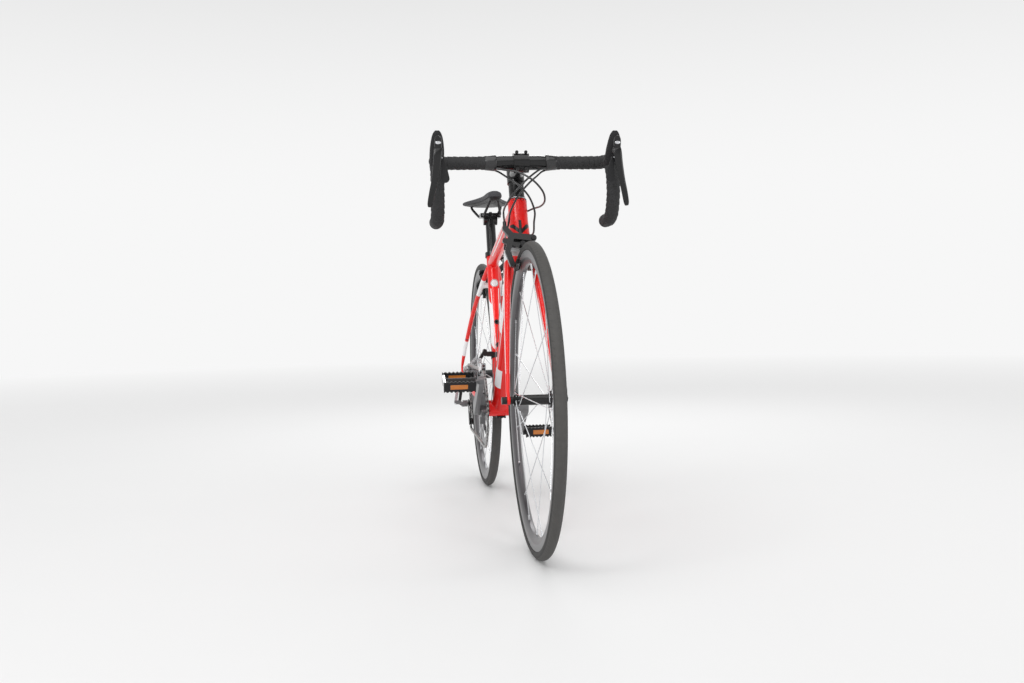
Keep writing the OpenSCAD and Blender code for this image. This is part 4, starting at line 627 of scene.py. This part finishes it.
centre_bar = [[BAR[0], y, BAR[2], r, r] for y, r in
              ((-62, 13.9), (-54, 14.9), (-47, 15.6), (-43, 15.9), (43, 15.9), (47, 15.6), (54, 14.9), (62, 13.9))]
tube("handlebar_centre", centre_bar, "black", "steering", side=(0.35, 0, 0.87), n=1, m=40, replaces=("handlebar",))
for side, tag in ((1, "left"), (-1, "right")):
    up = (0.35, -0.35 * side, 0.87)
    start = [BAR[0], side * TAPE_START, BAR[2], 14.6, 14.6]
    path = spline([start, *bar_side(side)], 8)
    step = np.linalg.norm(np.diff(path[:, :3], axis=0), axis=1)
    run = np.concatenate([[0], np.cumsum(step)])
    fine = np.arange(0, run[-1], 1.3)
    path = np.stack([np.interp(fine, run, path[:, k]) for k in range(5)], 1)
    lay = 13.5

    def wrap(i, angles, fine=fine, side=side):
        turn = (fine[i] / lay - side * angles / (2 * PI)) % 1
        edge = np.clip((1 - turn) / 0.10, 0, 1)
        return TAPE_T - 1.1 + 1.3 * turn ** 0.7 * edge + 0.2 * np.sin(angles * 3 + fine[i] * 0.21)

    add("tape_" + tag, sweep(path, up, 40, offset=wrap), skin(len(path), 40), "tape", "steering", 55,
        ("bar_tape",), slot=SLOT["bar_tape"])
    band = [[BAR[0], side * y, BAR[2], r, r] for y, r in
            ((55.2, 17.4), (56.5, 18.0), (62, 17.5), (72, 16.3), (79, 15.9), (80, 15.2))]
    tube("finishing_band_" + tag, band, "housing", "steering", up, 1, 40, slot="black_plastic")
    plug = [[BAR[0] + HOOK_X + x, side * HALF_W, BAR[2] - DROP, r, r] for x, r in
            ((-34.6, 11.5), (-35.0, 14.2), (-37.0, 14.7), (-38.6, 13.6), (-39.2, 9.0))]
    tube("bar_plug_" + tag, plug, "plastic", "steering", (0, 1, 0), 1, 32, slot="black_plastic")

    c = BAR + np.array([0, side * HALF_W, 0])
    hood = [[c[0] + x, c[1], c[2] + z, w, d] for x, z, w, d in
            ((55, -17, 13.5, 13), (62, -10, 15, 15), (74, 3, 15.5, 16.2), (84, 14, 15.2, 16.4), (91, 23, 14.4, 15),
             (97, 33, 13, 12.6), (101, 42, 11, 10), (103.5, 49, 8, 7.2), (104.5, 53.5, 4.2, 3.6))]
    fine_hood = spline(hood, 7)

    def ribs(i, angles):
        t = i / len(fine_hood)
        lip = 1.1 * math.exp(-((t - 0.03) / 0.03) ** 2)
        rows = 0.30 * max(0.0, math.sin(i * 1.9)) if 0.30 < t < 0.62 else 0.0
        return lip + rows * (np.abs(np.cos(angles)) > 0.72)

    add("hood_" + tag, sweep(fine_hood, (0, 1, 0), 48, 2.35, ribs), skin(len(fine_hood), 48), "rubber",
        "steering", 60, ("lever_hoods",), slot=SLOT["lever_hoods"])
    snout = [[c[0] + x, c[1], c[2] + z, w, d] for x, z, w, d in
             ((86, 12, 5.0, 9), (96, 12.5, 5.0, 9.5), (106, 11.5, 4.9, 7.5), (113, 10, 4.9, 5.4),
              (116.5, 9.6, 4.4, 3.4))]
    tube("lever_bracket_" + tag, snout, "satin", "steering", (0, 1, 0), 4, 24, 2.6, slot="black_plastic")

    lever, body = "brake_lever_" + tag, "lever_" + tag
    blade = [[c[0] + x, c[1] + side * y, c[2] + z, w, d] for x, y, z, w, d in
             ((120, 0, 15, 7.5, 2.4), (121.5, 0, 11, 9, 3.3), (123.2, 1, 0, 9, 3.7),
              (123.4, 2.4, -14, 8.5, 3.6), (123.6, 5.4, -34, 7.6, 3.4),
              (122.6, 9.2, -55, 6.9, 3.3), (119.8, 14.8, -80, 6.5, 3.1), (116.4, 18.8, -100, 5.8, 2.8),
              (114.9, 20, -107.4, 3.6, 1.8))]
    tube(lever + "_blade", blade, "black", body, (0, 1, 0), 6, 28, 2.5, replaces=(lever,))
    parts = []
    p = c + np.array([112, 0, 10])
    for s in (-1, 1):
        y0 = p[1] + s * 6.7
        parts.append((sweep([[p[0] - 5.2, y0, p[2] - 0.5, 1.2, 2.6], [p[0] - 3.5, y0, p[2] - 0.3, 1.3, 4.6],
                             [p[0], y0, p[2], 1.3, 5.4], [p[0] + 6, y0, p[2] + 1.3, 1.3, 5.2],
                             [p[0] + 11, y0, p[2] + 2, 1.3, 4.2]], (0, 1, 0), 20, 4), skin(5, 20)))
    parts.append(rod(p - [0, 8.8, 0], p + [0, 8.8, 0], 2.5, 24))
    v, f = merge(*parts)
    bevelled(add(lever + "_pivot", v, f, "satin", body, 35, slot=SLOT[lever]), 0.3)
    tilt = math.radians(12)
    face = []
    for x, w, h in ((0, 7.6, 15.2), (2.4, 7.7, 15.4), (3.6, 7.2, 14.9), (4.1, 6.2, 13.8)):
        across, down = math.cos(tilt), math.sin(tilt)
        q = p + np.array([10 + x * across + 1.5 * down, 0, 13 - x * down + 1.5 * across])
        face.append([*q, w, h])
    tube(lever + "_plate", face, "black", body, (0, 1, 0), 1, 40, 2.6, slot="black_alloy")
    crescent = [[q[0] + x, q[1], q[2] + 1.2, w, h] for x, w, h in
                ((-1.2, 5.8, 3.4), (0.3, 5.7, 3.3), (0.9, 4.9, 2.6))]
    tube(lever + "_crescent", crescent, "silver", body, (0, 1, 0), 1, 32, 2.3, slot="silver")
    pin = p + np.array([0, -side * 7, -16])
    v, f = merge(rod(pin + [-1.6, 0, 0], pin + [-0.6, 0, 0], 3.0, 20),
                 rod(pin + [-0.8, 0, 0], pin + [12, 0, 0], 1.6, 16))
    add(lever + "_shift_pin", v, f, "silver", body, 35, slot="silver")
    refine("shift_paddle_" + tag, "plastic", 0.7, smooth=50, segments=3)


# ---------------------------------------------------------------- stem, headset, brakes
def small(limit):
    return lambda co: "silver" if size(co).max() < limit else None


refine("stem", "black", 0.8, lambda co: "satin" if size(co).max() < 32 else None, 32, 3)
refine("headset_spacers", "satin", 0.35,
       lambda co: "silver" if size(co)[2] < 15.6 and size(co)[1] > 43.5 else None, 30)
refine("bearing_cups", "satin", 0.3, smooth=30)
refine("seat_collar", "black", 0.5, small(28), 32, 3)
for n in ("front_brake_pivot", "rear_brake_pivot"):
    refine(n, "satin", 0.5, smooth=32)
for n in ("front_brake_arm_left", "front_brake_arm_right", "rear_brake_arm_left", "rear_brake_arm_right"):
    refine(n, "black", 0.9, small(20), 36, 3)

# ---------------------------------------------------------------- seat
refine("seatpost", "black", 0.4, small(22), 32)
NOSE_X = seat_pt(-2, 0, 437 + 93 + 6)[0] + 139
SADDLE_Z = seat_pt(-2, 0, 437 + 93 + 6)[2] + 11 + 58
ROWS = [[0, 9, 9, 22], [0.04, 18, 3, 30], [0.2, 21, 0, 30], [0.42, 27, 2, 28], [0.62, 42, 3, 26],
        [0.8, 62, 4, 22], [0.93, 66, 4, 19], [1, 45, 6, 12]]


def saddle_cover():
    stations = spline([[0.0, 3, 11, 15], [0.008, 9, 8, 20], *ROWS[1:-1], [0.985, 53, 5.5, 14], [1.0, 43, 8, 9]], 9)
    m, verts = 112, []
    for i, (t, w, drop, thick) in enumerate(stations):
        a = np.arange(m) * 2 * PI / m
        c, s = np.cos(a), np.sin(a)
        p = 2.55
        y = w * np.sign(c) * np.abs(c) ** (2 / p)
        z = SADDLE_Z - drop - thick / 2 + thick / 2 * np.sign(s) * np.abs(s) ** (2 / p)
        top = s > 0
        mid = math.exp(-((t - 0.55) / 0.26) ** 4)
        z = z - np.where(top, 2.4 * mid * np.exp(-(y / 8.5) ** 2), 0)
        seam = w * (0.60 if t < 0.5 else 0.60 + 0.14 * (t - 0.5) / 0.5)
        z = z - np.where(top & (w > 14), 0.9 * np.exp(-((np.abs(y) - seam) / 1.3) ** 2), 0)
        z = np.maximum(z, SADDLE_Z - 19)
        x = NOSE_X - t * 270
        verts.append(np.stack([np.full(m, x), y, z], 1))
    return np.concatenate(verts), skin(len(stations), m)


v, f = saddle_cover()
cover = add("saddle_pad", v, f, "saddle", "saddle", 70, ("saddle_cover",))
refine("saddle_base", "plastic", 0, smooth=60)

# ---------------------------------------------------------------- drivetrain
refine("crank_right", "grey", 1.2, small(95), 34, 3)
refine("crank_left", "grey", 1.2, small(95), 34, 3)
refine("chainrings", "satin", 0.18,
       lambda co: "silver" if size(co).max() < 20 else ("grey" if size(co).max() > 180 else None), 24)
refine("chain", "chain", 0.12, smooth=35, segments=1)
refine("cassette", "cogs", 0.15, smooth=25, segments=1)


def pedal_part(co):
    s = size(co)
    if s[1] < 12:
        return "silver"
    return "amber" if s[1] < 60 and s.max() < 60 else None


for n in ("pedal_right", "pedal_left"):
    refine(n, "plastic", 0.5, pedal_part, 32)
for n, mat in (("rd_bracket", "grey"), ("rd_outer_link", "silver"), ("rd_inner_link", "satin"), ("rd_knuckle", "grey"),
               ("rd_cage", "satin"), ("guide_pulley", "plastic"), ("tension_pulley", "plastic"),
               ("fd_bracket", "satin"), ("fd_link", "satin"), ("fd_cage", "silver")):
    refine(n, mat, 0.35, smooth=32)
refine("frame_fittings", "plastic", 0.3, smooth=32)

# ---------------------------------------------------------------- cables
HOUSING_R = 2.2
BARREL = (41.5, -38, 390 + 16)
STOP_TOP = TOP_A + 52 * TOP_DIR + [0, 17 + 4.2, 0]


def shift_run(s, ahead):
    return [[370.5, s * 55.6, 837], [372, s * 47, 833], [384 + ahead / 2, s * 34, 822], [404 + ahead, s * 11, 802],
            [408 + ahead, s * -12, 776], [392 + ahead / 2, s * -27, 745], [371, s * -28.5, 722], [344, s * -31, 701],
            DOWN_A + 36 * DOWN_DIR + [0, s * -28.5, 1], DOWN_A + 54.1 * DOWN_DIR + [0, s * -25.7, 0]]


RUNS = {
    "front_brake_housing": ([[392, 55.6, 839], [398, 42, 836], [410, 26, 826], [426, 4, 808], [430, -20, 784],
                             [404, -34, 764], steer_pt(BARREL[0], BARREL[1], BARREL[2] + 26),
                             steer_pt(BARREL[0], BARREL[1], BARREL[2] + 1.4)], None),
    "rear_brake_housing": ([[392, -55.6, 839], [400, -42, 835], [420, -12, 827], [438, 16, 808], [437, 38, 784],
                            [412, 47, 766], [370, 45, 758], [322, 35, 757], STOP_TOP - 26 * TOP_DIR,
                            STOP_TOP - 7.4 * TOP_DIR], ((430, 30, 800), (340, 60, 757))),
    "left_shift_housing": (shift_run(1, 11), ((415, 11, 802), (350, -32, 706))),
    "right_shift_housing": (shift_run(-1, 0), ((404, -11, 802), (350, 32, 706))),
}
for name, (points, bend) in RUNS.items():
    line = spline([list(p) for p in points], 8)
    ring = [[*p, HOUSING_R, HOUSING_R] for p in line]
    obj = add(name, sweep(ring, (0.3, 0.2, 0.93), 14), skin(len(ring), 14), "housing", "steering", 60,
              slot="cable_black", ride=bend is None)
    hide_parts("steering_cables")
    if bend:
        [c * MM for c in bend[0]]
        [c * MM for c in bend[1]]
        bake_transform(obj)
refine("frame_cables", "housing", 0, lambda co: "steel" if size(co).max() > 250 else None, 60)

# ---------------------------------------------------------------- stage, light and camera
HORIZON = 0.93
floor = bpy.data.objects.new("floor", bpy.data.meshes.new("floor"))
floor.data.from_pydata([(-400, -400, 0), (400, -400, 0), (400, 400, 0), (-400, 400, 0)], [], [(0, 1, 2, 3)])
bpy.context.scene.collection.objects.link(floor)
ground = Paint("floor_paint", rough=0.55)
far = (ground.x * ground.x + ground.y * ground.y).op("SQRT").above(5500, 7000)
ground.set(**{"Base Color": ground.mix(far, ground.tint((0.80, 0.80, 0.80), 0.01, 900), (0, 0, 0)),
              "Specular IOR Level": 0.0, "Emission Strength": far * HORIZON})
ground.bsdf.inputs["Emission Color"].default_value = (1, 1, 1, 1)
floor.data.materials.append(ground.mat)
floor.location.z = -0.0005

world = bpy.data.worlds.new("studio")
bpy.context.scene.world = world
world.use_nodes = True
sky = world.node_tree
coord, split, ramp = (sky.nodes.new(k) for k in ("ShaderNodeTexCoord", "ShaderNodeSeparateXYZ", "ShaderNodeMapRange"))
ramp.interpolation_type = "SMOOTHSTEP"
for i, v in enumerate((0.10, 0.75, HORIZON, 0.35), 1):
    ramp.inputs[i].default_value = v
sky.links.new(coord.outputs["Generated"], split.inputs[0])
sky.links.new(split.outputs[2], ramp.inputs[0])
sky.links.new(ramp.outputs[0], sky.nodes["Background"].inputs[1])
sky.nodes["Background"].inputs[0].default_value = (1, 1, 1, 1)
sun = bpy.data.objects.new("soft_sun", bpy.data.lights.new("soft_sun", "SUN"))
bpy.context.scene.collection.objects.link(sun)
sun.data.energy, sun.data.angle = 1.55, math.radians(70)
sun.rotation_euler = (math.radians(12), math.radians(24), 0)


def area_light(name, place, aim, width, watts):
    data = bpy.data.lights.new(name, "AREA")
    data.shape, data.size, data.energy = "SQUARE", width, watts
    obj = bpy.data.objects.new(name, data)
    bpy.context.scene.collection.objects.link(obj)
    obj.location = place
    obj.rotation_euler = (Vector(aim) - Vector(place)).to_track_quat("-Z", "Y").to_euler()


area_light("key", (2.6, -2.2, 2.6), (0.1, 0, 0.5), 1.2, 26)
area_light("fill", (2.2, 2.8, 1.6), (0.1, 0, 0.5), 1.4, 16)
area_light("back", (-2.6, 0.6, 2.4), (0, 0, 0.5), 1.4, 20)

cam = bpy.data.objects.new("camera", bpy.data.cameras.new("camera"))
bpy.context.scene.collection.objects.link(cam)
EYE, GAZE = (2.6778, -0.3346, 0.5227), Vector((-0.99085, 0.13199, -0.02803)).normalized()
ROLL = math.radians(-1.327)
right = GAZE.cross(Vector((0, 0, 1))).normalized()
up = right.cross(GAZE)
across = math.cos(ROLL) * right + math.sin(ROLL) * up
upward = -math.sin(ROLL) * right + math.cos(ROLL) * up
basis = Matrix((across, upward, -GAZE)).transposed().to_4x4()
cam.matrix_world = Matrix.Translation(EYE) @ basis
cam.data.sensor_width = 36
cam.data.lens = 36 * 1044.5 / 1024
cam.data.clip_start = 0.05
bpy.context.scene.camera = cam
bpy.context.scene.view_settings.view_transform = "Standard"
